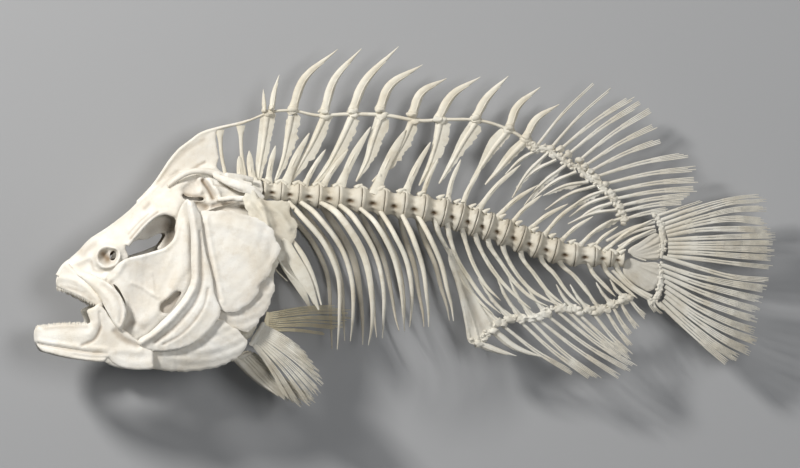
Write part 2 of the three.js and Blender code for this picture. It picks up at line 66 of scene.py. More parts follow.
# %% The lean on the floor
MM = 0.001
ROLL, PITCH = -0.0675, 0.0278
PLACE = Vector((-3.1, -7.1, 38.2))
LAID = (
    Matrix.Scale(MM, 4)
    @ Matrix.Translation(PLACE)
    @ Matrix.Rotation(ROLL, 4, "X")
    @ Matrix.Rotation(PITCH, 4, "Y")
)
FLOOR_GAP = 0.00015  # metres between a bone that is worn flat and the floor
print("lean in degrees:", round(math.degrees(ROLL), 2), round(math.degrees(PITCH), 2))

# %% [markdown]
# A line through a few places has to bend as bone does, without corners. A cubic between each
# two places does it, with slopes taken from their neighbours, and the result is spread evenly,
# so that all the steps along a bone have one length.

# %% Smooth lines
SIDEWAYS = np.array((0.0, 0.0, 1.0))
DENSE_OPEN, DENSE_CLOSED = 16, 24  # places worked out for each given one
PROFILE_STEPS = 240


def run_of(line):
    """How far along a line each of its places lies."""
    return np.concatenate(([0.0], np.cumsum(np.linalg.norm(np.diff(line, axis=0), axis=1))))


def spread_evenly(line, count, closed=False):
    """count places at even distances along a line. A closed one doesn't repeat its first."""
    run = run_of(line)
    even = np.linspace(0.0, run[-1], count, endpoint=not closed)
    return np.stack([np.interp(even, run, axis) for axis in line.T], axis=1)


def cubic(u, length, start, start_slope, end, end_slope):
    """Places at shares u of a stretch that leaves start and reaches end with given slopes."""
    first = (1 + 2 * u) * (1 - u) ** 2 * start + u * (1 - u) ** 2 * length * start_slope
    return first + (u * u * (3 - 2 * u) * end + u * u * (u - 1) * length * end_slope)


def smooth(points, count):
    """count places spread evenly along a smooth line through a few given ones."""
    given = np.array([(*p, 0.0)[:3] for p in points], float)
    chord = run_of(given)
    slope = np.gradient(given, chord, axis=0)
    fine = np.linspace(0.0, chord[-1], DENSE_OPEN * len(given))
    i = np.clip(np.searchsorted(chord, fine, side="right") - 1, 0, len(chord) - 2)
    length = (chord[i + 1] - chord[i])[:, None]
    u = (fine - chord[i])[:, None] / length
    return spread_evenly(cubic(u, length, given[i], slope[i], given[i + 1], slope[i + 1]), count)


def loop(points, step):
    """A closed smooth line through a few places, as x and y, with a place at every step."""
    given = np.array([p[:2] for p in points], float)
    before, after = np.roll(given, 1, axis=0), np.roll(given, -1, axis=0)
    length = np.linalg.norm(after - given, axis=1)[:, None]
    slope = (after - before) / (length + np.roll(length, 1, axis=0))
    u = np.linspace(0.0, 1.0, DENSE_CLOSED, endpoint=False)[:, None, None]
    dense = cubic(u, length, given, slope, after, np.roll(slope, -1, axis=0))
    dense = dense.transpose(1, 0, 2).reshape(-1, 2)
    closed = np.concatenate([dense, dense[:1]])
    return spread_evenly(closed, max(8, int(run_of(closed)[-1] / step)), closed=True)


def bend(foot, tip, bow):
    """Three places from foot to tip, the middle one pushed aside by a share of the length."""
    foot, tip = np.array((*foot, 0.0)[:3], float), np.array((*tip, 0.0)[:3], float)
    reach = tip - foot
    return [foot, (foot + tip) / 2 + np.array((-reach[1] * bow, reach[0] * bow, 0.0)), tip]


def profile(points):
    """A height, or a breadth, that runs smoothly through a few places along the body."""
    line = smooth(points, PROFILE_STEPS)
    return lambda x: np.interp(x, line[:, 0], line[:, 1])


def spread(stations, t):
    """A short list of values read at shares t of its length."""
    return np.interp(t, np.linspace(0.0, 1.0, len(stations)), stations)


print("a quarter of the way along a bend:", smooth([(0, 0), (1, 1), (2, 0)], 5)[1].round(2))

# %% [markdown]
# The first kind of bone is a bar: a rib, a spine, a ray. Blender could bevel a curve, but a
# bar here changes its breadth and thickness along its length. So a plain tube is extruded ring
# by ring once for each number of sides and steps, and each bar is a copy of it whose rings are
# carried along the line.

# %% Bars
TUBES = {}
WAVES = 9.0  # radians of unevenness along a wavy bar


def tube(sides, steps):
    """A closed tube of radius 1 from z = 0 to z = 1, kept for the next bar like it."""
    if (sides, steps) not in TUBES:
        bm = bmesh.new()
        bmesh.ops.create_circle(bm, cap_ends=True, segments=sides, radius=1.0)
        rim = list(bm.edges)
        for _ in range(steps):
            grown = bmesh.ops.extrude_edge_only(bm, edges=rim)["geom"]
            corners = {g for g in grown if isinstance(g, bmesh.types.BMVert)}
            bmesh.ops.translate(bm, vec=(0, 0, 1 / steps), verts=list(corners))
            edges = [g for g in grown if isinstance(g, bmesh.types.BMEdge)]
            rim = [e for e in edges if corners.issuperset(e.verts)]
        bmesh.ops.contextual_create(bm, geom=rim)
        mesh = bpy.data.meshes.new(f"tube_{sides}_{steps}")
        bm.to_mesh(mesh)
        bm.free()
        TUBES[sides, steps] = mesh
    return TUBES[sides, steps]


def start_bone():
    """An empty bone with two values at each place: the first darkens it, for grease and other tones and for
    painted shade in pits, grooves and recesses, and along says how far down a ray it lies.
    """
    bm = bmesh.new()
    bm.verts.layers.float.new("tint_and_painted_shade")
    bm.verts.layers.float.new("along")
    return bm


def add_copy(bm, part):
    """Adds a copy of part to bm."""
    mesh = bpy.data.meshes.new("part")
    part.to_mesh(mesh)
    bm.from_mesh(mesh)
    bpy.data.meshes.remove(mesh)


def directions(line):
    """The way a line runs at each place, and the way across it in the side view."""
    heading = np.gradient(line, axis=0)
    heading /= np.linalg.norm(heading, axis=1)[:, None]
    across = np.cross(heading, SIDEWAYS)
    across /= np.linalg.norm(across, axis=1)[:, None]
    return heading, across


def bar(bm, line, breadth, thick, sides=8, wave=0.0, jointed=False):
    """Adds a bar. breadth lies in the side view, thick runs from side to side, and both are
    lists that are read along the line. A jointed bar says at each place how far down it lies."""
    line = np.asarray(line, float)
    steps = len(line) - 1
    t = np.linspace(0.0, 1.0, len(line))
    heading, across = directions(line)
    through = np.cross(heading, across)
    swell = 1.0 + wave * np.sin(t * WAVES + line[0, 0])
    half_breadth = spread(breadth, t) / 2 * swell
    half_thick = spread(thick, t) / 2
    run = run_of(line)
    first = len(bm.verts)
    bm.from_mesh(tube(sides, steps))
    bm.verts.ensure_lookup_table()
    along = bm.verts.layers.float["along"]
    for v in bm.verts[first:]:
        i = round(v.co.z * steps)
        side = across[i] * (v.co.x * half_breadth[i]) + through[i] * (v.co.y * half_thick[i])
        v.co = line[i] + side
        v[along] = run[i] if jointed else 0.0


def blade(bm, line, front, back, thick, ragged):
    """A flat bar whose margins lie at different distances in front of and behind its line."""
    t = np.linspace(0.0, 1.0, len(line))
    _, across = directions(line)
    tear = [noise.noise(Vector(p) * 0.35) + 0.6 * noise.noise(Vector(p) * 0.9) for p in line]
    front, back = spread(front, t), spread(back, t) * (1 + ragged * np.array(tear))
    middle = line + across * ((front - back) / 2)[:, None]
    bar(bm, middle, front + back, thick, sides=10)


# %% [markdown]
# Every bone ends the same way: its normals are put right, it is laid on the floor with what
# would sink in worn flat, and it rides on the one body. A bone of the right side is the left
# one's mirror image, and a negative scale turns its faces inside out until they are recalculated.

# %% Finished pieces
WEAR = 0.12  # millimetres by which a dried surface is uneven
BROAD_WEAR, FINE_WEAR = 0.23, 0.61  # waves of it in a millimetre
SHARP = math.radians(55)  # edges sharper than this stay sharp
MADE = []


def lay_down(bm, name, slot, nodes, mirrored=False):
    """Makes bm an object of the scene that stands for some of the frame's nodes."""
    if mirrored:
        bmesh.ops.scale(bm, vec=(1, 1, -1), verts=bm.verts)
    bmesh.ops.recalc_face_normals(bm, faces=bm.faces)
    bm.normal_update()
    for v in bm.verts:
        v.co += v.normal * (noise.noise(v.co * BROAD_WEAR) + 0.5 * noise.noise(v.co * FINE_WEAR)) * WEAR
    bmesh.ops.transform(bm, matrix=LAID, verts=bm.verts)
    for v in bm.verts:
        v.co.z = max(v.co.z, FLOOR_GAP)
    mesh = bpy.data.meshes.new(name)
    bm.to_mesh(mesh)
    bm.free()
    mesh.polygons.foreach_set("use_smooth", [True] * len(mesh.polygons))
    mesh.set_sharp_from_angle(angle=SHARP)
    made = bpy.data.objects.new(name, mesh)
    bpy.context.scene.collection.objects.link(made)
    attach(made, "root")
    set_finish(made, slot)
    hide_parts(*nodes)
    MADE.append(made)
    print(f"{name}: {len(mesh.polygons)} faces")


def both_sides(model, name, slot):
    """A bone of the left side and its mirror image on the right."""
    for side in ("left", "right"):
        lay_down(model(), f"{name}_{side}_bone", slot, [f"{name}_{side}"], mirrored=side == "right")


# %% [markdown]
# The backbone carries everything else. Its vertebrae are hourglasses: two cups, back to back,
# with struts along their waist and pits between the struts. A lathe would make them plain, so
# the rings of one tube are listed one by one and then pressed in where the pits are.

# %% Backbone sizes
JOINTS = [
    -110, -96, -82, -66, -50, -32, -14, 2, 18, 34,
    47, 59, 70, 83, 96, 109, 123, 139, 155, 168, 179,
]
TRUNK = range(0, 9)
TAIL_FRONT = range(9, 15)
TAIL_REAR = range(15, 20)
spine_height = profile([
    (-110, 35), (-72, 31), (-40, 28), (-6, 24), (34, 17), (70, 6), (102, -6), (131, -15),
    (161, -18), (184, -21),
])
spine_radius = profile([
    (-110, 8.5), (-72, 10), (-40, 11.2), (8, 12), (90, 11.6), (131, 10.4), (161, 8.6), (184, 5.6),
])
WAIST = 0.72
print("backbone:", len(JOINTS) - 1, "vertebrae over", JOINTS[-1] - JOINTS[0], "mm")

# %% Vertebrae
RINGS = [0.0, 0.02, 0.08, 0.16, 0.27, 0.38, 0.44, 0.5, 0.56, 0.62, 0.73, 0.84, 0.92, 0.98, 1.0]
RIM_SHAPE = [0.9, 0.98, 1.0, 0.93, 0.83, 0.76, 0.73, WAIST, 0.73, 0.76, 0.83, 0.93, 1.0, 0.98, 0.9]
# angle from the top and width in degrees, depth as a share of the radius, and tint: the pit is painted
# darker, partly for grease and partly as painted shade
PITS = [(62, 17, 0.16, 0.4), (107, 15, 0.34, 1.3), (146, 12, 0.14, 0.5)]
CENTRUM_SIDES = 40
CENTRUM_GAP = 0.12  # on each side of the joint between two vertebrae
WAIST_REACH = 0.19  # how far the pits reach along a vertebra, as a share of it
GREASY, CUP_PAINTED_SHADE = 0.2, 0.45  # how much browner a vertebra's whole side is for grease, and the painted shade on its cupped ends, which face the next vertebra across a narrow gap
JOINT_ASIDE = 4.5  # from the mid-plane to the small joints above


def vertebra(bm, i):
    """The body of vertebra i, and the two pairs of small joints above it."""
    x0, x1 = JOINTS[i] + CENTRUM_GAP, JOINTS[i + 1] - CENTRUM_GAP
    xs = x0 + (x1 - x0) * np.array(RINGS)
    line = np.stack([xs, spine_height(xs), 0 * xs], axis=1)
    size = 2 * spine_radius(xs) * np.array(RIM_SHAPE)
    first = len(bm.verts)
    bar(bm, line, size, size, sides=CENTRUM_SIDES)
    tint_and_painted_shade = bm.verts.layers.float["tint_and_painted_shade"]
    for v in bm.verts[first:]:
        t = (v.co.x - x0) / (x1 - x0)
        middle = np.array((v.co.x, spine_height(v.co.x), 0.0))
        out = np.array(v.co) - middle
        angle = math.degrees(math.atan2(abs(out[2]), out[1]))
        waist = math.exp(-(((t - 0.5) / WAIST_REACH) ** 2))
        # grease browns the whole side; the pits are darker still, partly grease and partly painted shade
        for at, width, depth, tint in PITS:
            pit = math.exp(-(((angle - at) / width) ** 2)) * waist
            out *= 1 - depth * pit
            v[tint_and_painted_shade] = min(1.0, max(v[tint_and_painted_shade], tint * pit, GREASY))
        # painted shade on the cupped ends, which lie in the gap between vertebrae
        if t < 0.001 or t > 0.999:
            v[tint_and_painted_shade] = CUP_PAINTED_SHADE
        v.co = middle + out
    centre = (x0 + x1) / 2
    top = spine_height(centre) + spine_radius(centre)
    for z in (JOINT_ASIDE, -JOINT_ASIDE):
        front = [(x0 + 4, top - 3, z), (x0 + 1, top - 0.4, z), (x0 - 1.6, top + 0.8, z)]
        bar(bm, smooth(front, 5), [4.0, 3.0, 1.2], [2.6, 2.2, 1.2])
        rear = [(x1 - 4, top - 3, z), (x1 - 1, top - 0.8, z), (x1 + 1.2, top + 0.1, z)]
        bar(bm, smooth(rear, 5), [4.0, 2.8, 1.2], [2.6, 2.0, 1.2])


# %% [markdown]
# Above each vertebra two limbs rise on either side of the nerve cord and meet in a spine, and
# in the tail two more go down round the great vessels. Two short bars that lean together and
# one long one that tapers read as that arch from every side.

# %% Arches and spines
ARCH = 0.24  # share of a spine's length at which its two limbs meet
SPINE_STEPS = 26
LIMB_OVERLAP = 9  # steps that a limb runs on inside the spine
# shares of a spine's breadth up to its tip
BLUNT = (1.0, 1.0, 1.0, 0.98, 0.94, 0.86, 0.72, 0.5, 0.14)


def arched_spine(bm, points, breadth, thick, stance):
    """A spine through points whose foot stands apart by stance on each side."""
    line = smooth(points, SPINE_STEPS)
    meet = int(ARCH * len(line))
    merge = meet + LIMB_OVERLAP
    for side in (1, -1):
        limb = line[:merge].copy()
        limb[:meet, 2] += side * stance * np.linspace(1.0, 0.0, meet) ** 0.8
        bar(bm, smooth(limb, merge), [breadth * 1.5, breadth * 1.25, breadth, breadth * 0.6, 0.3],
            [2.8, 2.4, thick, thick * 0.8, 0.3], sides=10)
    bar(bm, line[meet - 2:], [0.4, *(breadth * share for share in BLUNT)],
        [thick * 0.6, thick * 0.9, thick * 0.8, thick * 0.7, 0.9, 0.7], sides=10, wave=0.05)
    crest = [0.4, breadth * 0.42, breadth * 0.36, breadth * 0.28, 0.4]
    bar(bm, line[meet + 1:-5], crest, [0.6, thick * 1.25, thick * 1.1, 1.2, 0.5], sides=6)


OFFSET = 1.6  # by which neighbouring fans of the mid-plane pass each other
NEURAL_TRUNK = [
    (-126, -129, 62, 6.4), (-117, -121, 66, 6.6), (-106, -100, 70, 5.4), (-93, -73, 80, 6.6),
    (-78, -60, 67, 4.6), (-64, -42, 67, 5.4), (-50, -24, 85, 7), (-21, 4, 83, 8), (2, 24, 73, 6),
    (16, 30, 60, 4.4),
]
NEURAL_TAIL = [
    (37, 48, 59, 4.6), (48, 64, 51, 4.6), (59, 96, 55, 4.6), (74, 110, 39, 4.2), (86, 113, 31, 4),
    (99, 134, 24, 4), (112, 144, 27, 3.8), (125, 154, 14, 3.8), (141, 170, 12, 3.6),
    (152, 174, 6, 3.4), (162, 203, 12, 3.2), (171, 203, 4, 3),
]
HAEMAL = [
    [(29.6, 3.2), (40, -16.8), (49.6, -36.8), (62.4, -52.8), (74.4, -64)],
    [(38.4, 1.6), (44, -16.8), (56, -36.8), (68, -52.8), (80, -63.2)],
    [(49.6, 1.6), (57.6, -22.4), (68, -40.8), (80, -52.8)],
    [(60, -2.4), (69.6, -22.4), (80, -36.8), (96, -52.8), (104, -59.2)],
    [(70.4, -7.2), (80, -22.4), (93.6, -40.8), (108, -52.8), (118.4, -57.6)],
    [(82.4, -12), (92, -30.4), (104.8, -44.8), (124, -56)],
    [(97.2, -18.4), (107.2, -32), (116.8, -44.8), (130.4, -56)],
    [(112.8, -20.4), (123.2, -32), (133.6, -46.4), (144, -56.8)],
    [(127.6, -22.8), (139.2, -33.6), (149.6, -46.4), (158.4, -57.6)],
    [(152.8, -28.8), (162.4, -40), (172, -49.6)],
    [(164, -28), (176.8, -40.8), (189.6, -51.2)],
    [(173.6, -27.2), (186.4, -42.4), (198.4, -51.2)],
]


def neural(bm, rows, bow):
    """Spines above the backbone. A row is the foot's x, the tip's x and y, and the breadth."""
    for foot_x, tip_x, tip_y, breadth in rows:
        radius = spine_radius(foot_x)
        foot = (foot_x, spine_height(foot_x) + 0.42 * radius, 0)
        line = smooth(bend(foot, (tip_x, tip_y, OFFSET), bow), 3)
        arched_spine(bm, line, breadth * 0.9, 2.2, 0.5 * radius)


def haemal(bm, rows):
    """Spines below the backbone. A row is the places from foot to tip."""
    for points in rows:
        x, y = points[0]
        radius = spine_radius(x)
        foot = (x - 2.5, spine_height(x) - 0.3 * radius)
        line = [(x, y, OFFSET * k / len(points)) for k, (x, y) in enumerate([foot, *points])]
        arched_spine(bm, line, 3.3, 2.0, 0.4 * radius)


def backbone(which, neural_rows, bow, haemal_rows=()):
    """A stretch of vertebrae with the spines above and below them."""
    bm = start_bone()
    for i in which:
        vertebra(bm, i)
    neural(bm, neural_rows, bow)
    haemal(bm, haemal_rows)
    return bm


lay_down(backbone(TRUNK, NEURAL_TRUNK, 0.03), "trunk_backbone", "bone_ivory", ["spine_trunk"])
lay_down(
    backbone(TAIL_FRONT, NEURAL_TAIL[:6], 0.05, HAEMAL[:7]),
    "tail_backbone_front", "bone_ivory", ["spine_tail_front"],
)
lay_down(
    backbone(TAIL_REAR, NEURAL_TAIL[6:], 0.05, HAEMAL[7:]),
    "tail_backbone_rear", "bone_ivory", ["spine_tail_rear"],
)

# %% [markdown]
# Ribs hang from the trunk's vertebrae: thin bars that go out to the fish's side, swing down
# round the belly and end in a point. A rib is round at its head and its tip, and flat between.

# %% Ribs
RIBS = [
    [(-89.3, 24.8, 4), (-83.2, 14.4, 33), (-66, -6.4, 37), (-54.7, -31.2, 36), (-52.4, -64, 30),
     (-52.6, -91.2, 18)],
    [(-80.5, 25.6, 4), (-69.8, 13.6, 35), (-51, -12.8, 38), (-43.2, -37.6, 37), (-41.8, -64, 32),
     (-42.3, -84.8, 19)],
    [(-65.3, 25.6, 4), (-53.1, 14.4, 36), (-33.5, -18.4, 39), (-27.8, -47.2, 38), (-26.5, -72, 31),
     (-27.9, -88, 19)],
    [(-50.1, 24, 4), (-40.3, 11.2, 36), (-24.6, -16, 38), (-18, -44.8, 37), (-17.2, -67.2, 30),
     (-16.7, -82.4, 19)],
    [(-34.1, 21.6, 4), (-22.5, 6.4, 34), (-10.6, -16, 35), (-3.2, -47.2, 33), (-0.7, -67.2, 26),
     (1, -76.8, 18)],
    [(-17.3, 19.2, 4), (-9.2, 0.8, 30), (0.3, -19.2, 31), (5.3, -43.2, 29), (5.8, -64, 22),
     (5.2, -73.6, 17)],
    [(-0.5, 17.6, 4), (6.5, -2.4, 26), (14.5, -26.4, 26), (17.9, -48, 24), (20.2, -64, 18),
     (20.6, -73.6, 15)],
    [(13.1, 15.2, 4), (20, -0.8, 20), (30.4, -24.8, 20), (35.4, -44.8, 18), (39, -57.6, 15),
     (40.8, -68.8, 13)],
]
RIB_BREADTH, STRONG_BREADTH, STRONG_RIB = 4.1, 5.4, 2
RIGHT_RIB_PAINTED_SHADE = 0.28  # painted shade: the right ribs lie underneath and are darkened as if in shadow


def ribs(tint=0.0):
    bm = start_bone()
    for k, points in enumerate(RIBS):
        wide = STRONG_BREADTH if k == STRONG_RIB else RIB_BREADTH
        bar(bm, smooth(points, 34), [3.6, wide, wide * 1.05, wide, wide * 0.86, wide * 0.6, 0.7],
            [3.8, 3.2, 2.8, 2.4, 2.0, 0.7], sides=10, wave=0.05)
    # the tint is painted shade, given to the right ribs only
    tint_and_painted_shade = bm.verts.layers.float["tint_and_painted_shade"]
    for v in bm.verts:
        v[tint_and_painted_shade] = tint
    return bm


lay_down(ribs(), "ribs_left_bone", "bone_ivory", ["ribs_left"])
lay_down(ribs(RIGHT_RIB_PAINTED_SHADE), "ribs_right_bone", "bone_ivory", ["ribs_right"], mirrored=True)

# %% [markdown]
# The fins of the back stand on a row of small bones, and each spine's foot has a joint on it.
# A spine is a curved blade with a swollen foot. The bones below are thin plates with a strong
# ridge, so each is one flat bar for the plate and one round bar for the ridge.

# %% Spiny part of the back fin
SPINY_BASE = [
    (-147.2, 82.4), (-136, 85.6), (-127.2, 87.6), (-116.8, 91.6), (-106, 96), (-88, 98), (-66, 94),
    (-44, 95), (-10, 94), (14, 90), (40, 91), (64, 90), (84, 84), (104, 73),
]
spiny_base = profile(SPINY_BASE)
SPINES = [
    ((-108.8, 98.4), (-109.2, 106.4), (-109.6, 115.2), 3.4),
    ((-102.8, 100), (-100.8, 112.8), (-96.8, 126.4), 4.6),
    ((-86, 99.2), (-78.4, 120.8), (-50.4, 146.4), 7.0),
    ((-60.8, 97.6), (-53.6, 120.8), (-31.2, 147.2), 7.0),
    ((-38.4, 97.6), (-30.4, 117.6), (-1.6, 148.8), 7.4),
    ((-16.4, 99.2), (-9.6, 116), (17.6, 134.4), 7.6),
    ((9.6, 95.2), (16, 111.2), (36.8, 123.6), 7.4),
    ((30, 91.2), (40.8, 109.6), (64, 124.8), 7.4),
    ((60.4, 92.8), (68, 106.4), (86.4, 125.6), 7.0),
    ((87.2, 84.8), (92.8, 100), (112, 116.8), 6.8),
    ((100.8, 77.6), (108, 90.4), (127.2, 103.2), 6.2),
]
# each carrier's line, its margins in front and behind, and how torn its thin hind edge is
CARRIERS = [
    ([(-106.4, 96), (-108.8, 75.2), (-112, 55.2), (-114.4, 36.8)], [5.6, 5.4, 4.2, 1.4],
     [7.0, 6.0, 4.2, 1.2], 0.25),
    ([(-87.2, 93.6), (-90.4, 75.2), (-93.6, 59.2), (-100, 41.6)], [4.2, 3.2, 2.2, 1.8, 1.0],
     [7, 8, 6.4, 4, 0.8], 0.45),
    ([(-60.8, 93.6), (-69.6, 73.6), (-77.6, 59.2), (-88, 40.8)], [3, 3, 2.8, 2.6, 1.2],
     [6, 7.4, 7, 5, 1.0], 0.35),
    ([(-38.4, 93.6), (-48, 72.8), (-57.6, 54.4), (-69.6, 38.4)], [3.4, 3, 2.8, 2.6, 1.2],
     [7, 8, 7.4, 5, 1.0], 0.3),
    ([(-15.2, 93.6), (-21.6, 75.2), (-27.2, 56.8), (-35.2, 41.6)], [5, 4.4, 3.4, 2.6, 0.8],
     [7.4, 8.4, 6.6, 3.4, 0.6], 0.25),
    ([(10.4, 92.8), (1.6, 72), (-9.6, 54.4), (-22.4, 41.6)], [3, 3, 2.6, 2, 0.8], [5, 6.4, 5, 3, 0.6], 0.5),
    ([(32, 89.6), (28.8, 73.6), (22.4, 52.8), (15.2, 38.4)], [4, 3.4, 2.6, 2.2, 0.8],
     [9, 9, 6.4, 2.6, 0.6], 0.45),
    ([(60, 88), (48.8, 70.4), (40, 54.4), (31.2, 40)], [5, 5, 3.4, 2.4, 0.8], [6.4, 7.4, 4, 2.4, 0.6],
     0.35),
    ([(85.6, 81.6), (75.2, 68.8), (65.6, 54.4), (56, 40.8)], [6, 7.4, 5, 2.4, 0.8],
     [4, 4, 2.6, 1.6, 0.6], 0.4),
    ([(100, 73.6), (89.6, 63.2), (79.2, 51.2), (68, 39.2)], [4, 5, 4, 2.2, 0.8],
     [3, 3.4, 2.6, 1.6, 0.6], 0.3),
]
FREE_STRUTS = [((-144.4, 82.4), (-139.2, 44)), ((-127.6, 86), (-123.6, 43.2))]
SPINE_SHAPE = [1.1, 0.94, 1.05, 0.98, 0.88, 0.76, 0.6, 0.44, 0.26, 0.06]  # shares of its breadth
SPINE_THICK = [4.6, 4.2, 3.6, 3.1, 2.4, 1.6, 0.4]
KNOB_ASIDE = 2.2  # from the mid-plane to a spine's two knobs


def fin_spine(bm, foot, middle, tip, breadth):
    """A spine on its swollen foot, with the two knobs that it turns on."""
    line = smooth([foot, middle, tip], SPINE_STEPS)
    bar(bm, line, [breadth * share for share in SPINE_SHAPE], SPINE_THICK, sides=12)
    _, across = directions(line)
    keel = (line + across * (breadth * 0.22))[2:-6]
    bar(bm, keel, [1.6, 1.4, 1.0, 0.5], [4.9, 4.2, 3.2, 1.8], sides=8)
    x, y = foot
    for z in (KNOB_ASIDE, -KNOB_ASIDE):
        lump(bm, (x - 0.2, y - 0.2, z), (breadth * 0.56, 2.6, 1.9))


def carrier(bm, points, front, back, ragged, core=4.0):
    """A strong ridge from the fin's base down between the spines, with thin margins."""
    places = [(*p, -OFFSET * k / (len(points) - 1)) for k, p in enumerate(points)]
    line = smooth(places, 30)
    blade(bm, line, front, back, [1.5, 1.2, 1.0, 0.8], ragged)
    tapered = [core * 1.25, core, core * 0.8, core * 0.6, 0.8]
    bar(bm, line, tapered, [3.8, 3.2, 2.6, 2.0, 0.9], wave=0.06)


def lump(bm, centre, radii):
    """A knobbly lump of bone."""
    ball = bmesh.ops.create_icosphere(bm, subdivisions=2, radius=1.0)["verts"]
    bmesh.ops.scale(bm, vec=radii, verts=ball)
    bmesh.ops.translate(bm, vec=centre, verts=ball)
    middle = Vector(centre)
    for v in ball:
        v.co += (v.co - middle) * (0.6 * noise.noise(v.co * 0.55))


def pebbles(bm, line, count, size, scatter):
    """The knobbly joints along a fin's base."""
    for x, y, z in line[np.linspace(1, len(line) - 2, count).astype(int)]:
        x += random.uniform(-1, 1) * scatter
        y += random.uniform(-1, 1) * scatter
        lump(bm, (x, y, z), [size / 2 * random.uniform(0.6, 1.35) for _ in range(3)])


def spiny_fin():
    bm = start_bone()
    base = smooth(SPINY_BASE, 110)
    bar(bm, base, [1.8, 2.4, 2.8, 3.0, 3.0, 3.0], [2.6, 3.6, 3.6, 3.6], sides=10, wave=0.12)
    for foot, middle, tip, breadth in SPINES:
        fin_spine(bm, foot, middle, tip, breadth)
    for points, front, back, ragged in CARRIERS:
        carrier(bm, points, front, back, ragged)
        x = points[0][0]
        lump(bm, (x + 1.0, spiny_base(x) - 0.6, 0), (5.0, 3.3, 3.0))
    for top, tip in FREE_STRUTS:
        line = smooth(bend(top, tip, -0.03), 20)
        bar(bm, line, [8.0, 4.4, 3.2, 3.0, 3.0, 3.0, 3.2, 3.0], [2.4, 2.2, 2.0, 1.8], sides=10)
    return bm


lay_down(spiny_fin(), "spiny_back_fin", "bone_ivory", ["dorsal_fin_spiny"])

# %% [markdown]
# A soft ray is jointed like a bamboo cane and forks again and again towards the fin's edge.
# One function makes every soft ray of the skeleton: at each fork a strand becomes two of half
# its breadth, and the strands part smoothly until they end side by side.

# %% Soft rays
random.seed(11)
FORKS = {1: (0.45,), 2: (0.34, 0.66), 3: (0.26, 0.5, 0.74)}  # shares of the length
THINNING = 0.86  # by which a strand is thinner than the one it comes from
TORN_ENDS = (0, 0, 1, 1, 2)  # steps by which a strand may fall short


def soft_ray(bm, points, breadth, spread_out, depth, thick=1.5, count=24):
    """A ray that forks depth times, from breadth at its foot to spread_out at its edge."""
    middle = smooth(points, count)
    _, across = directions(middle)
    t = np.linspace(0.0, 1.0, count)
    total = breadth + (spread_out - breadth) * t ** 1.2
    forks = (0.0, *FORKS[depth], 1.0)
    for level in range(depth + 1):
        strands = 2 ** level
        thicks = [thick * THINNING ** level, thick * THINNING ** (level + 1)]
        i0 = max(0, int(forks[level] * (count - 1)) - 1)
        for k in range(strands):
            i1 = min(count, int(forks[level + 1] * (count - 1)) + 2)
            if level == depth:
                i1 = count - random.choice(TORN_ENDS)
            line = middle + across * (total * ((k + 0.5) / strands - 0.5))[:, None]
            past_fork = np.clip((t[i0:i1] - forks[level]) * 2.5, 0, 1)
            fill = 1.02 - 0.3 * past_fork if level else 1.0
            width = total[i0:i1] / strands * fill
            if level == depth:
                width[-1] *= 0.7
            bar(bm, line[i0:i1], width, thicks, sides=6 if level else 8, jointed=True)


SOFT_BASE = [
    (101.6, 74.4), (108, 68.8), (118.4, 67.2), (124.8, 62.4), (132, 57.6), (140.8, 53.6),
    (150.4, 44.8), (160, 40), (164.8, 33.6), (171.2, 27.2), (174.4, 20.8), (177.6, 15.2),
    (180.8, 9.6),
]
SOFT_RAYS = [
    ((108.8, 69.6), (156.8, 121.6)), ((120.8, 68.8), (171.2, 117.6)), ((128.8, 68), (187.2, 109.6)),
    ((135.2, 64), (192, 104)), ((144, 59.2), (200, 98.4)), ((148, 54.4), (204.8, 86.4)),
    ((152.8, 50.4), (208, 74.4)), ((156.8, 45.6), (230.4, 63.2)), ((164.8, 40), (236.8, 52)),
    ((168.8, 33.6), (238.4, 43.2)), ((172, 28), (237.6, 36)), ((176, 22.4), (232, 30.4)),
    ((177.6, 17.6), (227.2, 25.6)), ((180, 12), (214.4, 19.2)),
]
SLIM_RAYS = 2  # rays in front that fork only once
SOFT_CARRIERS = [
    ((110.4, 67.2), (84, 47.2)), ((118.4, 64.8), (89.6, 28.8)), ((124.8, 59.2), (92.8, 36.8)),
    ((132, 54.4), (99.2, 22.4)), ((140.8, 49.6), (105.6, 27.2)), ((150.4, 41.6), (114.4, 30.4)),
    ((156, 38.4), (116, 19.2)), ((164.8, 35.2), (132, 16.8)), ((166.4, 29.6), (135.2, 13.6)),
    ((169.6, 24.8), (140.8, 10.4)), ((172.8, 19.2), (134.4, 8)), ((177.6, 12.8), (153.6, 0)),
]


def soft_fin():
    bm = start_bone()
    base = smooth(SOFT_BASE, 90)
    bar(bm, base, [3.0, 4.0, 4.0, 2.8], [3.8, 3.8, 3.6, 3.0], sides=10, wave=0.2)
    pebbles(bm, base, 120, 3.7, 2.7)
    for k, (foot, tip) in enumerate(SOFT_RAYS):
        spread_out, depth = (2.6, 1) if k < SLIM_RAYS else (5.4, 2)
        soft_ray(bm, bend(foot, tip, 0.03), 2.4, spread_out, depth)
        lump(bm, (foot[0] - 0.8, foot[1] - 0.5, 0), (3.7, 2.7, 2.5))
    for k, (top, tip) in enumerate(SOFT_CARRIERS):
        leaf = [0.8, 3.2, 2.6, 0.5] if k % 2 else [0.8, 1.4, 1.2, 0.4]
        points = [p[:2] for p in bend(top, tip, -0.06)]
        carrier(bm, points, [1.0, 1.8, 1.4, 0.5], leaf, 0.6, core=2.4)
    return bm


lay_down(soft_fin(), "soft_back_fin", "fin_ray_grey", ["dorsal_fin_soft"])

# %% [markdown]
# The second kind of bone is a plate over the head's side. An even grid is laid over the
# outline, what lies outside is deleted, and the grid's border is drawn onto the outline, so
# any shape with any window gets the same fine cells. One extrusion of all its faces makes it
# thick, and each place is then moved onto the head's side, thinner towards the edge.

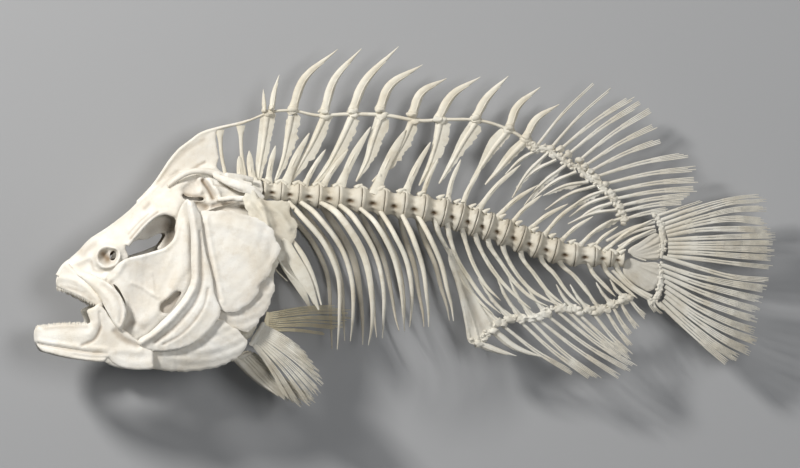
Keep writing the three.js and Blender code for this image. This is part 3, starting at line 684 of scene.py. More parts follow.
# %% The head's side
HEAD_HALF_WIDTH, HEAD_AXIS, HEAD_RISE, HEAD_DROP = 42.0, -22.0, 104.0, 106.0
PLAN_STEPS = 300
head_share = profile([
    (-304, 0.2), (-272, 0.42), (-232, 0.66), (-192, 0.84), (-152, 0.97), (-120, 1), (-80, 0.9),
    (-32, 0.74),
])


def on_head(lift, tuck=0.0):
    """Places over the head's side, lifted off it, and drawn in below by up to tuck."""
    def place(xy, extra):
        x, y = xy[:, 0], xy[:, 1]
        reach = np.where(y > HEAD_AXIS, HEAD_RISE, HEAD_DROP)
        share = np.minimum(np.abs(y - HEAD_AXIS) / reach, 0.97)
        width = HEAD_HALF_WIDTH * head_share(x) * (1 - share ** 3) ** 0.6
        below = np.maximum(0.0, (HEAD_AXIS - y) / HEAD_DROP)
        return np.stack([x, y, width + lift - tuck * below ** 1.5 + extra], axis=1)
    return place


def mid_plane(xy, extra):
    """Places in the fish's mid-plane."""
    return np.stack([xy[:, 0], xy[:, 1], extra], axis=1)


def along_plan(points):
    """Places on a jaw that curves in plan, and the way to unroll an outline along that curve."""
    line = smooth(points, PLAN_STEPS)
    run = run_of(line)
    turn = np.gradient(line[:, :2], run, axis=0)

    def place(sy, extra):
        x, z = np.interp(sy[:, 0], run, line[:, 0]), np.interp(sy[:, 0], run, line[:, 1])
        out_x, out_z = -np.interp(sy[:, 0], run, turn[:, 1]), np.interp(sy[:, 0], run, turn[:, 0])
        return np.stack([x + out_x * extra, sy[:, 1], z + out_z * extra], axis=1)

    def unrolled(outline):
        return [(float(np.interp(x, line[:, 0], run)), y) for x, y in outline]

    return place, unrolled


# %% Distances
def nearest(line, xy, closed=False):
    """Distance from each place to a line in the side view, and the nearest place on it."""
    a = line if closed else line[:-1]
    b = np.roll(line, -1, axis=0) if closed else line[1:]
    edge = b - a
    reach = xy[:, None, :] - a[None]
    t = np.clip((reach * edge).sum(2) / np.maximum((edge ** 2).sum(1), 1e-9), 0.0, 1.0)
    foot = a[None] + t[:, :, None] * edge[None]
    gap = np.linalg.norm(xy[:, None, :] - foot, axis=2)
    k = gap.argmin(1)
    row = np.arange(len(xy))
    return gap[row, k], foot[row, k]


def is_within(rims, xy):
    """True where a place lies inside the first rim and outside the others."""
    odd = np.zeros(len(xy), bool)
    for rim in rims:
        a, b = rim, np.roll(rim, -1, axis=0)
        crosses = (a[None, :, 1] > xy[:, None, 1]) != (b[None, :, 1] > xy[:, None, 1])
        rise = np.where(b[:, 1] == a[:, 1], 1e-9, b[:, 1] - a[:, 1])
        at = a[None, :, 0] + (b - a)[None, :, 0] * (xy[:, None, 1] - a[None, :, 1]) / rise[None]
        odd ^= ((crosses & (xy[:, None, 0] < at)).sum(1) % 2).astype(bool)
    return odd


def ridge(points, height, width):
    """A raised line, or a groove where height is negative, as a relief over x and y."""
    line = smooth(points, 40)[:, :2]
    return lambda xy: height * np.exp(-((nearest(line, xy)[0] / width) ** 2))


def ridges(rows, laid=list):
    """Reliefs of a table whose rows are places, height and width. laid moves the places first."""
    return [ridge(laid(places), height, width) for places, height, width in rows]


def even_tint(tint):
    """One tint over a whole plate."""
    return lambda xy: np.full(len(xy), tint)


print("distance from (0, 1) to the x axis:", nearest(np.array([(0, 0), (1, 0)]), np.array([(0.0, 1.0)]))[0])

# %% Plates
RIM, RELIEF_RIM = 2.2, 2.0  # millimetres over which a plate, and its relief, thin to the edge
RIM_STEP, HOLE_STEP = 0.8, 0.5  # between the places of an outline and of a window
INNER_RELIEF = 0.6  # share of the relief that the inner face follows
BROAD_TEAR, FINE_TEAR = 0.22, 0.6  # waves of a torn edge in a millimetre
noise.seed_set(11)  # without it, the vectors of a torn edge differ from run to run


def plate(bm, outline, place, thick, relief=(), holes=(), cell=1.1, tints_and_shade=(), edge_share=0.35,
          ragged=0.0):
    """Adds a plate over an outline. relief is a list of functions of x and y that raise its outer
    face; a second such list darkens it, for a plate's own tone and for painted shade in its
    grooves and recesses, and the relief's grooves get a little painted shade as well. place says
    where each x and y of the outline lies."""
    rims = [loop(outline, RIM_STEP), *(loop(hole, HOLE_STEP) for hole in holes)]
    for spot in rims[0]:
        spot += ragged * np.array(noise.noise_vector(Vector((*spot, 0.0)) * BROAD_TEAR))[:2]
        spot += 0.5 * ragged * np.array(noise.noise_vector(Vector((*spot, 5.0)) * FINE_TEAR))[:2]
    low, high = rims[0].min(0) - cell, rims[0].max(0) + cell
    count = np.ceil((high - low) / cell).astype(int)
    centre = (low + high) / 2
    lay = Matrix.Translation((*centre, 0)) @ Matrix.Diagonal((*(high - low), 1, 1))
    sheet = start_bone()
    bmesh.ops.create_grid(
        sheet, x_segments=int(count[0]), y_segments=int(count[1]), size=0.5, matrix=lay
    )
    faces = list(sheet.faces)
    centres = np.array([f.calc_center_median()[:2] for f in faces])
    gap = np.min([nearest(rim, centres, True)[0] for rim in rims], axis=0)
    keep = is_within(rims, centres) & (gap > 0.25 * cell)
    bmesh.ops.delete(sheet, geom=[f for f, k in zip(faces, keep) if not k], context="FACES")
    faces, verts = list(sheet.faces), list(sheet.verts)
    border = [v for v in verts if any(e.is_boundary for e in v.link_edges)]
    flat = np.array([v.co[:2] for v in border])
    found = [nearest(rim, flat, True) for rim in rims]
    which = np.argmin([gap for gap, _ in found], axis=0)
    for k, v in enumerate(border):
        v.co[:2] = found[which[k]][1][k]
    grown = bmesh.ops.extrude_face_region(sheet, geom=faces, use_keep_orig=True)["geom"]
    outer = [g for g in grown if isinstance(g, bmesh.types.BMVert)]
    xy = np.array([v.co[:2] for v in outer + verts])
    edge = np.min([nearest(rim, xy, True)[0] for rim in rims], axis=0)
    round_edge = np.sqrt(np.clip(1 - (1 - np.minimum(edge / RIM, 1.0)) ** 2, 0.0, 1.0))
    half = thick / 2 * (edge_share + (1 - edge_share) * round_edge)
    raised = sum((f(xy) for f in relief), np.zeros(len(xy))) * np.minimum(edge / RELIEF_RIM, 1.0)
    sign = np.concatenate([np.ones(len(outer)), -np.ones(len(verts))])
    spots = place(xy, sign * half + raised * np.where(sign > 0, 1.0, INNER_RELIEF))
    tint_and_painted_shade = sheet.verts.layers.float["tint_and_painted_shade"]
    # painted shade: darker where the relief sinks, added to the given tints
    tint = sum((f(xy) for f in tints_and_shade), np.minimum(0.10, 0.1 * np.maximum(0.0, -raised)))
    for v, spot, shade in zip(outer + verts, spots, tint):
        v.co = spot
        v[tint_and_painted_shade] = min(max(shade, 0.0), 1.0)
    add_copy(bm, sheet)
    sheet.free()


def striae(x0, y0, count, height, start=12.0):
    """Fine ridges that spread from a plate's centre of growth."""
    def relief(xy):
        dx, dy = xy[:, 0] - x0, xy[:, 1] - y0
        r, angle = np.hypot(dx, dy), np.arctan2(dy, dx)
        grow = np.clip((r - start) / 20.0, 0.0, 1.0)
        wave = np.sin(angle * count + 1.5 * np.sin(r * 0.09)) + 0.5 * np.sin(angle * count * 1.7 + 2)
        return height * grow * wave
    return relief


def rings(x0, y0, pitch, height):
    """Growth lines round a plate's centre of growth."""
    def relief(xy):
        r = np.hypot(xy[:, 0] - x0, (xy[:, 1] - y0) * 0.9)
        return height * (np.sin(r * 2 * np.pi / pitch) + 0.6 * np.sin(r * 4.1 / pitch + 1.0))
    return relief


# %% [markdown]
# The gill cover is four plates that overlap like shingles. The opercle is the big one; the
# subopercle and interopercle lie below it, and the preopercle is a strong angle in front, with
# a raised keel down its front edge, a groove behind the keel and a thin flange.

# %% Gill cover
OPERCLE = [
    (-166.4, 16.8), (-156, 18), (-141.2, 18.4), (-131.2, 15.6), (-121.6, 13.2), (-113.6, 9.2),
    (-106, 2.4), (-104.8, -4), (-100, -12), (-102.4, -16.8), (-105.2, -22), (-107.6, -28),
    (-112.8, -36), (-116.8, -41.6), (-118.8, -46.4), (-123.2, -52), (-131.2, -58.4),
    (-138.4, -61.6), (-144.8, -61.6), (-151.2, -54.4), (-155.2, -40.8), (-159.2, -22.4),
    (-163.2, -3.2),
]
SUBOPERCLE = [
    (-108, -33.6), (-105.2, -43.6), (-107.6, -52.8), (-110.8, -60), (-116, -66.4), (-120, -72.8),
    (-126.4, -76.8), (-133.6, -76), (-141.6, -71.2), (-148.8, -66.4), (-146.4, -59.2),
    (-133.6, -54.4), (-119.2, -41.6),
]
INTEROPERCLE = [
    (-154.4, -70.4), (-146.4, -68), (-140, -72), (-133.6, -76.8), (-127.2, -83.2), (-126, -87.2),
    (-131.2, -95.2), (-138.4, -100.8), (-148.8, -105.2), (-159.2, -107.6), (-172, -108.8),
    (-188.8, -108.4), (-197.6, -106.8), (-203.6, -104.8), (-204, -94.4), (-193.6, -90.4),
    (-180, -88), (-165.6, -81.6),
]
PREOPERCLE = [
    (-173.6, 26.4), (-168.8, 24.8), (-164.4, 14.4), (-162.4, -3.2), (-160.4, -14.4),
    (-157.2, -26.4), (-154.8, -36.8), (-153.6, -46.4), (-151.2, -52.8), (-148.4, -59.2),
    (-149.6, -65.6), (-152.8, -70.4), (-157.6, -76.8), (-166.4, -84.8), (-176.8, -90),
    (-188, -92.4), (-200, -92.4), (-208, -90.8), (-212.8, -86.4), (-211.2, -82.4), (-203.6, -77.6),
    (-192.8, -67.2), (-185.6, -60), (-179.2, -52), (-174.4, -44), (-171.6, -36), (-171.6, -21.6),
    (-172, 3.2), (-174.4, 19.2),
]
KEEL = [
    (-172, 23.2), (-168.4, 3.2), (-167.6, -22.4), (-168.4, -39.2), (-173.6, -50.4), (-181.6, -60.8),
    (-191.2, -71.2), (-202.4, -80.8), (-209.6, -85.6),
]
GROOVE = [
    (-164.4, 1.6), (-163.2, -22.4), (-163.6, -40.8), (-168, -53.6), (-176, -64.8), (-186.4, -76),
    (-199.2, -85.6),
]
FOLD = [(-158.4, -43.2), (-161.6, -56.8), (-169.6, -69.6), (-180, -80), (-192.8, -87.2)]
HINGE = (-161.6, 13.6)
OPERCLE_RIDGES = [
    # places, height, width
    ([(-159.2, 12.8), (-155.2, -8.8), (-150.4, -32.8), (-145.6, -53.6)], 0.7, 1.5),
    ([(-161.6, 7.2), (-158.4, -11.2), (-153.6, -33.6), (-149.6, -51.2)], -0.6, 1.3),
    ([(-158.4, 9.6), (-140, 6.4), (-119.2, -1.6)], 0.7, 4.0),
    ([(-156, -4.8), (-146.4, -22.4), (-133.6, -49.6)], -0.5, 6.0),
    ([(-143.2, 16), (-127.2, 11.2), (-114.4, 3.2)], -0.6, 3.0),
    ([(-138.4, -12.8), (-122.4, -22.4), (-117.6, -36.8)], 0.7, 7.0),
    ([(-114.4, 1.6), (-108, -8), (-109.6, -19.2)], -0.5, 3.0),
]
OPERCLE_PAINTED_SHADE = [
    # places, painted shade, width: darker in the groove by the ridge and along the lower margin
    ([(-161.6, 7.2), (-158.4, -11.2), (-153.6, -33.6), (-149.6, -51.2)], 0.3, 1.2),
    ([(-141.6, -59.2), (-128.8, -51.2), (-117.6, -36.8)], 0.14, 4.0),
]
PREOPERCLE_RIDGES = [
    (KEEL, 2.5, 3.0), (GROOVE, -1.2, 1.5), (FOLD, -0.8, 1.1),
    ([(-159.2, -52.8), (-164, -65.6), (-173.6, -76.8), (-188, -84.8)], 0.5, 3.0),
]
# painted shade in the groove behind the keel and in the fold
PREOPERCLE_PAINTED_SHADE = [(GROOVE, 0.3, 1.3), (FOLD, 0.35, 0.9)]
INTEROPERCLE_RIDGE = [(-197.6, -98.4), (-176, -98.4), (-152, -88.8)]


def opercle():
    bm = start_bone()
    reliefs = [*ridges(OPERCLE_RIDGES), striae(*HINGE, 37, 0.06), rings(*HINGE, 8.5, 0.05)]
    plate(bm, OPERCLE, on_head(0.0), 1.6, reliefs, tints_and_shade=ridges(OPERCLE_PAINTED_SHADE), ragged=1.1)
    return bm


def subopercle():
    bm = start_bone()
    reliefs = [rings(-141.6, -12.8, 6.1, 0.14), striae(-138.4, -36.8, 33, 0.12)]
    plate(bm, SUBOPERCLE, on_head(-3.2), 1.5, reliefs, tints_and_shade=[even_tint(0.13)], ragged=1.4)
    return bm


def interopercle():
    bm = start_bone()
    reliefs = [
        rings(-167.2, -12.8, 6.4, 0.14), ridge(INTEROPERCLE_RIDGE, 0.8, 5.0), striae(-188, -52.8, 40, 0.10),
    ]
    plate(bm, INTEROPERCLE, on_head(-1.2), 1.6, reliefs, ragged=1.0)
    return bm


def preopercle():
    bm = start_bone()
    reliefs = [*ridges(PREOPERCLE_RIDGES), striae(-176.8, -44.8, 46, 0.07, 18.0)]
    plate(bm, PREOPERCLE, on_head(3.0), 2.2, reliefs, cell=0.9, tints_and_shade=ridges(PREOPERCLE_PAINTED_SHADE))
    return bm


both_sides(opercle, "opercle", "bone_white")
both_sides(subopercle, "subopercle", "bone_white")
both_sides(interopercle, "interopercle", "bone_white")
both_sides(preopercle, "preopercle", "bone_white")

# %% [markdown]
# The cheek is a sheet of thin bones between the orbit and the jaw joint, with a window in it
# and a slit behind the upper jaw. Low ridges radiate over it, and painted shade darkens its
# recesses, the strip in front of the slit and the rim of its window.

# %% Cheek
CHEEK = [
    (-230, -26), (-224.8, -21.2), (-219.2, -18.8), (-208, -16), (-200, -13.6), (-191.2, -10.4),
    (-184.8, -4), (-182.4, 4.8), (-181.6, 12.8), (-178.4, 21.6), (-173.6, 27.6), (-170.4, 24),
    (-170.4, 3.2), (-170.4, -21.6), (-170.4, -37.6), (-173.6, -45.6), (-178.4, -53.6),
    (-184.8, -61.6), (-192, -68.8), (-203.2, -79.2), (-211.2, -84), (-219.2, -84.8),
    (-227.2, -76.8), (-232.8, -67.2), (-233.6, -55.2), (-236.8, -44), (-236, -34.4),
]
WINDOW = [
    (-193.6, -61.6), (-194.4, -55.6), (-188.8, -52), (-181.6, -45.6), (-178.4, -46),
    (-181.6, -52.8), (-187.6, -62),
]
SLIT = [
    (-231.6, -39.6), (-228.4, -41.6), (-224.8, -47.2), (-222, -54.4), (-222.4, -60.8),
    (-226, -67.6), (-226.8, -65.6), (-224.1, -60), (-224.3, -54.8), (-227.2, -48),
]
ORBIT_RIM = [
    (-224.8, -19.2), (-212, -17.2), (-199.2, -14), (-190.4, -10.4), (-184, -4), (-181.6, 6.4),
]
CHEEK_RIDGES = [
    # places, height, width
    (ORBIT_RIM, 1.0, 2.2),
    ([(-216.8, -38.4), (-207.2, -43.2), (-196.8, -50.4)], 1.0, 1.3),
    ([(-201.6, -30.4), (-200, -48)], 0.8, 1.2),
    ([(-220, -78.4), (-204, -67.2), (-186.4, -46.4), (-176.8, -22.4), (-175.2, 7.2)], 1.2, 4.5),
    ([(-226.4, -70.4), (-216.8, -56), (-208.8, -40), (-202.4, -27.2)], -1.8, 9.0),
    ([(-221.6, -27.2), (-212, -33.6), (-197.6, -36.8)], -0.6, 7.0),
    ([(-230.4, -32), (-232, -40), (-229.6, -49.6)], -1.2, 2.6),
    ([(-221.6, -52.8), (-220, -62.4), (-222.4, -70.4)], 0.8, 1.6),
    ([(-223.2, -76.8), (-216.8, -70.4), (-207.2, -74.4)], -0.8, 3.0),
    ([(-224, -23.2), (-227.2, -29.6), (-232.8, -36)], 1.4, 2.2),
]
CHEEK_PAINTED_SHADE = [
    # places, painted shade, width: darker round the window, in front of the slit, over the concave middle
    # and in a groove
    ([*WINDOW, WINDOW[0]], 0.28, 1.3),
    ([(-234.4, -39.2), (-231.2, -44.8), (-228.8, -52.8), (-228, -65.6)], 0.3, 3.0),
    ([(-217.6, -24), (-204, -28.8), (-210.4, -41.6), (-218.4, -56), (-212, -67.2)], 0.12, 11.0),
    ([(-223.2, -76.8), (-216.8, -70.4), (-207.2, -74.4)], 0.2, 2.4),
]
BEHIND_WINDOW = [
    (-197.6, -64.8), (-196, -51.2), (-183.2, -42.4), (-175.2, -44), (-180, -57.6), (-188, -65.6),
]


def cheek():
    bm = start_bone()
    reliefs = [*ridges(CHEEK_RIDGES), striae(-212, -81.6, 34, 0.10, 16.0)]
    painted_shades = ridges(CHEEK_PAINTED_SHADE)
    plate(bm, CHEEK, on_head(-5.0), 1.5, reliefs, holes=[WINDOW, SLIT], cell=1.0, tints_and_shade=painted_shades)
    plate(bm, BEHIND_WINDOW, on_head(-8.5), 1.4, tints_and_shade=[even_tint(0.5)])
    return bm


both_sides(cheek, "cheek", "bone_white")

# %% [markdown]
# A jaw is a thick plate that curves round the front of the mouth. Its outline is drawn in the
# side view, unrolled along the curve of the jaw seen from above, and rolled up again.

# %% Jaws
LOWER_JAW = [
    (-288.8, -73.2), (-290.7, -78), (-290.6, -84), (-288.6, -90), (-285.6, -93), (-279.2, -94.8),
    (-272, -96.8), (-264, -98.4), (-256, -99.6), (-246.4, -100.8), (-238.4, -100.8), (-236, -98),
    (-232.8, -101.6), (-227.2, -104.8), (-219.2, -106.8), (-208, -107.2), (-200, -106),
    (-198.8, -99.2), (-200.8, -92), (-206.4, -87.2), (-213.6, -83.2), (-220.8, -77.6),
    (-228, -72.8), (-233.6, -67.2), (-238.4, -60), (-243.2, -55.2), (-247.2, -57.6),
    (-252.4, -60.4), (-251.2, -64.8), (-250, -69.6), (-254.4, -71.6), (-268, -71.6), (-280, -72.8),
    (-286.4, -74),
]
LOWER_PLAN = [
    (-290.8, 0.7), (-289.4, 5), (-285.8, 10.5), (-278.5, 15.5), (-263, 21.5), (-240, 26.5),
    (-200, 29.5),
]
UPPER_JAW = [
    (-273.4, -37.6), (-272.8, -42), (-270, -43.8), (-264, -46.4), (-256, -50.4), (-249.6, -54),
    (-243.2, -57.2), (-239.2, -56.8), (-242.4, -49.6), (-248, -42.4), (-253.6, -36.4),
    (-259.2, -30.4), (-263.2, -26.4), (-266.4, -23.2), (-269.6, -26.4), (-272, -32.8),
]
UPPER_PLAN = [(-273.8, 0.7), (-272.4, 4), (-268.6, 9), (-262, 14), (-252, 20), (-240, 25.5)]
MAXILLA = [
    (-264, -27.2), (-257.6, -28.4), (-249.6, -31.2), (-241.6, -35.2), (-234.4, -40),
    (-228.8, -45.6), (-224.4, -52.8), (-222, -60), (-222.4, -65.6), (-224.2, -72), (-226.4, -76.4),
    (-230.4, -72.8), (-234.4, -65.6), (-238, -58.4), (-242, -51.2), (-248, -43.6), (-254.4, -37.2),
    (-260.8, -32.4),
]
MAXILLA_PLAN = [
    (-266, 10), (-262, 13), (-256, 17.5), (-249, 21.5), (-240, 26), (-231, 30), (-221, 32.5),
]
TOOTH_SHAPE = [1.3, 1.1, 0.3]
TOOTH_ROWS = {
    # places, which way the teeth point, and how many there are
    "lower": ([(-289.6, -74.4), (-280, -73.2), (-268, -72), (-252.8, -71.6)], 1.0, 38),
    "upper": ([(-273.6, -42.4), (-264, -46), (-254.4, -50.8), (-243.2, -56.8)], -1.0, 30),
}
LOWER_RIDGES = [
    # places, height, width
    ([(-289.6, -86.4), (-272, -90), (-252, -93.2), (-236.8, -94.4)], -1.3, 1.0),
    ([(-288, -84), (-272, -86.8), (-252, -89.6), (-236.8, -90.4)], 0.7, 1.6),
    ([(-262.4, -95.6), (-248, -97.6), (-236.8, -97.6)], -0.6, 0.8),
    ([(-256, -88), (-246.4, -83.2), (-241.6, -73.6), (-242.4, -62.4)], -1.3, 1.2),
    ([(-249.6, -78.4), (-243.2, -67.2), (-244.8, -57.6)], 1.0, 3.0),
    ([(-236.8, -94.4), (-225.6, -92), (-211.2, -92.8)], 1.0, 3.2),
    ([(-230.4, -76.8), (-224, -83.2), (-212.8, -88)], -1.6, 2.4),
    ([(-232, -97.6), (-216, -101.6), (-203.2, -101.6)], 0.6, 3.0),
    ([(-284.8, -80), (-268.8, -80), (-252.8, -80)], 0.6, 5.0),
]
LOWER_PAINTED_SHADE = [
    # places, painted shade, width: darker in the grooves and recesses of the jaw and below the teeth
    ([(-256, -88), (-246.4, -83.2), (-241.6, -73.6)], 0.4, 1.2),
    ([(-241.6, -65.6), (-240.8, -76.8), (-233.6, -89.6)], 0.16, 6.0),
    ([(-284, -74.4), (-268, -73.2), (-252.8, -72.8)], 0.35, 1.6),
    ([(-288, -87.2), (-272, -90.8), (-252, -94), (-236.8, -95.2)], 0.3, 0.9),
    ([(-230.4, -76.8), (-224, -83.2), (-212.8, -88)], 0.4, 2.2),
]
UPPER_RIDGES = [
    ([(-272, -34.4), (-260.8, -36.8), (-249.6, -44.8), (-243.2, -52)], 0.9, 2.6),
    ([(-265.6, -42.4), (-252.8, -47.2)], -0.5, 1.4),
]
# painted shade in the groove below the teeth
UPPER_PAINTED_SHADE = [
    ([(-270.4, -41.2), (-259.2, -44.8), (-248, -51.2)], 0.25, 1.2),
]
MAXILLA_RIDGES = [
    ([(-257.6, -32.8), (-246.4, -39.2), (-236.8, -48.8), (-230.4, -60.8), (-228, -72)], 1.5, 3.4),
    ([(-240, -40), (-230.4, -48.8), (-225.6, -60.8), (-226.4, -70.4)], -0.8, 1.6),
    ([(-224.8, -52.8), (-223.2, -62.4), (-225.6, -72.8)], 0.9, 1.6),
]
# painted shade in the maxilla's groove
MAXILLA_PAINTED_SHADE = [
    ([(-240, -40), (-230.4, -48.8), (-225.6, -60.8), (-226.4, -70.4)], 0.2, 1.4),
]


def jaw_plate(bm, plan, outline, thick, raised, painted_shade_rows):
    """A plate rolled along a plan. It gives back how to lay more on that curve."""
    place, unrolled = along_plan(plan)
    # the second table is painted shade in the jaw's grooves
    reliefs, painted_shades = ridges(raised, unrolled), ridges(painted_shade_rows, unrolled)
    plate(bm, unrolled(outline), place, thick, reliefs, cell=0.9, tints_and_shade=painted_shades)
    return place, unrolled


def teeth(bm, places, up, count, place, unrolled):
    """Two rows of small cone teeth on a jaw's edge, the inner one shorter."""
    line = smooth(unrolled(places), count)[:, :2]
    for inner in (0, 1):
        for s, y in line:
            s += random.uniform(-0.4, 0.4)
            tall = random.uniform(1.4, 2.6) * (0.8 if inner else 1.0)
            feet = np.array([(s, y - 0.6 * up), (s + random.uniform(-0.3, 0.3), y + tall * up)])
            ends = place(feet, np.array([0.6 - 2.0 * inner, 0.2 - 2.0 * inner]))
            bar(bm, smooth(ends, 4), TOOTH_SHAPE, TOOTH_SHAPE, sides=6)


def lower_jaw():
    bm = start_bone()
    rolled = jaw_plate(bm, LOWER_PLAN, LOWER_JAW, 3.6, LOWER_RIDGES, LOWER_PAINTED_SHADE)
    teeth(bm, *TOOTH_ROWS["lower"], *rolled)
    return bm


def upper_jaw():
    bm = start_bone()
    rolled = jaw_plate(bm, UPPER_PLAN, UPPER_JAW, 3.4, UPPER_RIDGES, UPPER_PAINTED_SHADE)
    teeth(bm, *TOOTH_ROWS["upper"], *rolled)
    jaw_plate(bm, MAXILLA_PLAN, MAXILLA, 2.4, MAXILLA_RIDGES, MAXILLA_PAINTED_SHADE)
    rise = smooth([(-271.6, -33.6, 3), (-267.6, -26.4, 3.4), (-259.7, -19.2, 4)], 10)
    bar(bm, rise, [7, 6, 4], [4.0, 3.8, 3.0], sides=10)
    return bm


both_sides(lower_jaw, "lower_jaw", "bone_white")
both_sides(upper_jaw, "upper_jaw", "bone_white")

# %% [markdown]
# Inside the mouth lie the tongue bone, the two hyoid bars and a thin keel between them. They
# hardly show from above, but a skeleton without them looks empty from the front.

# %% Throat
TONGUE = [(-253, -87), (-240, -89), (-228, -91)]
HYOID = [(-235, -90, 0.8), (-219, -87, 12), (-192, -77, 21), (-173, -66, 25)]
KEEL_OF_THROAT = [
    (-234, -91), (-224, -97), (-190, -98.5), (-160, -99.5), (-150, -94), (-157, -89), (-190, -91.5),
    (-224, -93),
]


def throat():
    bm = start_bone()
    bar(bm, smooth(TONGUE, 10), [3, 6, 8, 7], [4, 7, 8, 6], sides=12)
    plate(bm, KEEL_OF_THROAT, mid_plane, 1.8)
    for side in (1, -1):
        line = smooth([(x, y, z * side) for x, y, z in HYOID], 18)
        bar(bm, line, [6, 9, 11, 11, 8, 5], [3.6, 3.4, 3, 2.6], sides=12)
    return bm


lay_down(throat(), "throat_bones", "bone_ivory", ["throat"])

# %% [markdown]
# The shoulder girdle hooks onto the skull's back corner and carries the breast fins: a broad
# curved plate behind the gill opening, with three thin blades that trail behind it.

# %% Shoulder
CLEITHRUM = [
    (-129.6, 27.2), (-126.4, 33.6), (-119.2, 38.4), (-114.4, 28), (-103.2, 26.4), (-92.4, 24.8),
    (-92, 16.8), (-88, 10.4), (-86, 2.8), (-88.4, -3.2), (-92.4, -9.6), (-96.8, -18.4),
    (-103.2, -27.2), (-106.4, -45.6), (-114.4, -61.6), (-119.2, -77.6), (-127.2, -87.2),
    (-133.6, -96), (-138.4, -94.4), (-129.6, -76.8), (-122.4, -56), (-120, -32.8), (-120, -4.8),
    (-125.6, 16),
]
SHOULDER_RIDGES = [
    # places, height, width
    ([(-124, 23.2), (-111.2, 7.2), (-108, -16.8), (-112.8, -48.8), (-125.6, -80.8)], 1.8, 2.2),
    ([(-114.4, 22.4), (-100, 16), (-92, 4.8)], 1.6, 2.4),
    ([(-103.2, 1.6), (-96.8, -9.6)], -1.5, 4.0),
    ([(-122.4, 35.2), (-114.4, 22.4), (-109.6, 8)], 1.6, 2.0),
    ([(-112.8, 26.4), (-106.4, 17.6), (-102.4, 6.4)], -1.2, 2.0),
]
SHOULDER_PAINTED_SHADE = [
    # places, painted shade, width: darker in the two grooves
    ([(-112.8, 26.4), (-106.4, 17.6), (-102.4, 6.4)], 0.2, 3.0),
    ([(-103.2, 1.6), (-96.8, -9.6)], 0.16, 5.0),
]
BLADES = [
    [(-96.5, -3.2, 31), (-89.4, -19.2, 32), (-78.9, -37.6, 31), (-68.4, -60, 27)],
    [(-90.7, -3.2, 29), (-81.2, -17.6, 30), (-73.1, -35.2, 29), (-66.3, -56, 26)],
    [(-103.2, -16.8, 33), (-95.3, -28.8, 34), (-86.4, -37.6, 33.5)],
]


def shoulder():
    bm = start_bone()
    reliefs = [*ridges(SHOULDER_RIDGES), striae(-117.6, 30.4, 30, 0.16, 8.0)]
    painted_shades = ridges(SHOULDER_PAINTED_SHADE)
    plate(bm, CLEITHRUM, on_head(-8.0, 26.0), 1.7, reliefs, tints_and_shade=painted_shades, ragged=1.4)
    broad, slim, needle = BLADES
    bar(bm, smooth(broad, 26), [6, 8.4, 10, 10.4, 9.4, 7.4, 4.4, 1.6], [2.2, 1.8, 1.5, 1.2, 1.0],
        sides=14, wave=0.04)
    bar(bm, smooth(slim, 24), [2.4, 4.0, 4.4, 4.0, 3.0, 1.2], [1.6, 1.6, 1.3, 1.0])
    bar(bm, smooth(needle, 14), [1.4, 1.2, 0.6], [1.2, 1.0, 0.6], sides=6)
    return bm


both_sides(shoulder, "shoulder", "bone_ivory")

# %% [markdown]
# Breast and belly fins are fans of soft rays too, only finer. The left breast fin droops below
# the gill cover, and the right one shows behind the ribs.

# %% Paired fins
def fin_fan(root, feet, tips, count, breadth, spread_out, bow, depth=2, uneven=1.5):
    """A fan of soft rays between a line of feet and a line of tips."""
    bm = start_bone()
    bar(bm, smooth(root, 10), [3.0, 4.2, 3.6], [2.8, 3.4, 2.8], sides=10, wave=0.1)
    pebbles(bm, smooth(root, 20), 9, 2.8, 0.8)
    foot_line, tip_line = smooth(feet, count), smooth(tips, count)
    for foot, tip in zip(foot_line, tip_line):
        tip += [random.uniform(-most, most) for most in (uneven, 1.5, 0.6)]
        soft_ray(bm, bend(foot, tip, bow), breadth, spread_out, depth, thick=1.3)
    return bm


def left_breast_fin():
    root = [(-112, -70, 26), (-117, -79, 25), (-122, -88, 22)]
    feet = [(-112, -72, 26), (-117, -80, 25), (-121, -87, 22)]
    tips = [(-84.3, -91.2, 29), (-70.7, -105.6, 29), (-66.4, -117.6, 27), (-68.5, -128.8, 24),
            (-80.1, -133.6, 21), (-91.8, -129.6, 18)]
    return fin_fan(root, feet, tips, 15, 1.7, 3.3, bow=0.03)


def right_breast_fin():
    root = [(-103, -62, -24), (-104, -70, -24), (-104, -78, -24)]
    feet = [(-103, -63, -24), (-104, -70, -24), (-104, -77, -24)]
    tips = [(-46.8, -57.6, -23), (-31.8, -64.8, -22), (-35.8, -68.8, -22), (-47, -74.4, -22),
            (-59.8, -79.2, -22)]
    return fin_fan(root, feet, tips, 11, 1.25, 1.9, bow=0.03, depth=1, uneven=4.0)


def belly_fin():
    root = [(-134, -100, 6), (-127, -97, 8), (-120, -94, 10)]
    feet = [(-129, -99, 7), (-124, -96, 9), (-119, -94, 10)]
    tips = [(-95.2, -127.2, 8), (-86.4, -132, 9.5), (-76.8, -135.2, 11), (-68.8, -132.8, 12.5)]
    bm = fin_fan(root, feet, tips, 6, 2.2, 4.2, bow=-0.02)
    lead = smooth([(-132, -98, 7), (-117, -114, 7), (-100, -127.5, 7)], 20)
    bar(bm, lead, [4.6, 4.2, 3.6, 2.8, 1.6, 0.5], [3.4, 2.8, 2.2, 0.6], sides=10)
    return bm


lay_down(left_breast_fin(), "left_breast_fin", "fin_ray_grey", ["pectoral_fin_left"])
lay_down(right_breast_fin(), "right_breast_fin", "fin_ray_tan", ["pectoral_fin_right"])
both_sides(belly_fin, "pelvic_fin", "fin_ray_grey")

# %% [markdown]
# The anal fin repeats the back fin below the tail, but its first bones are grown together into
# one strong strut, a ridged plate, and two short spines stand in front of the soft rays.

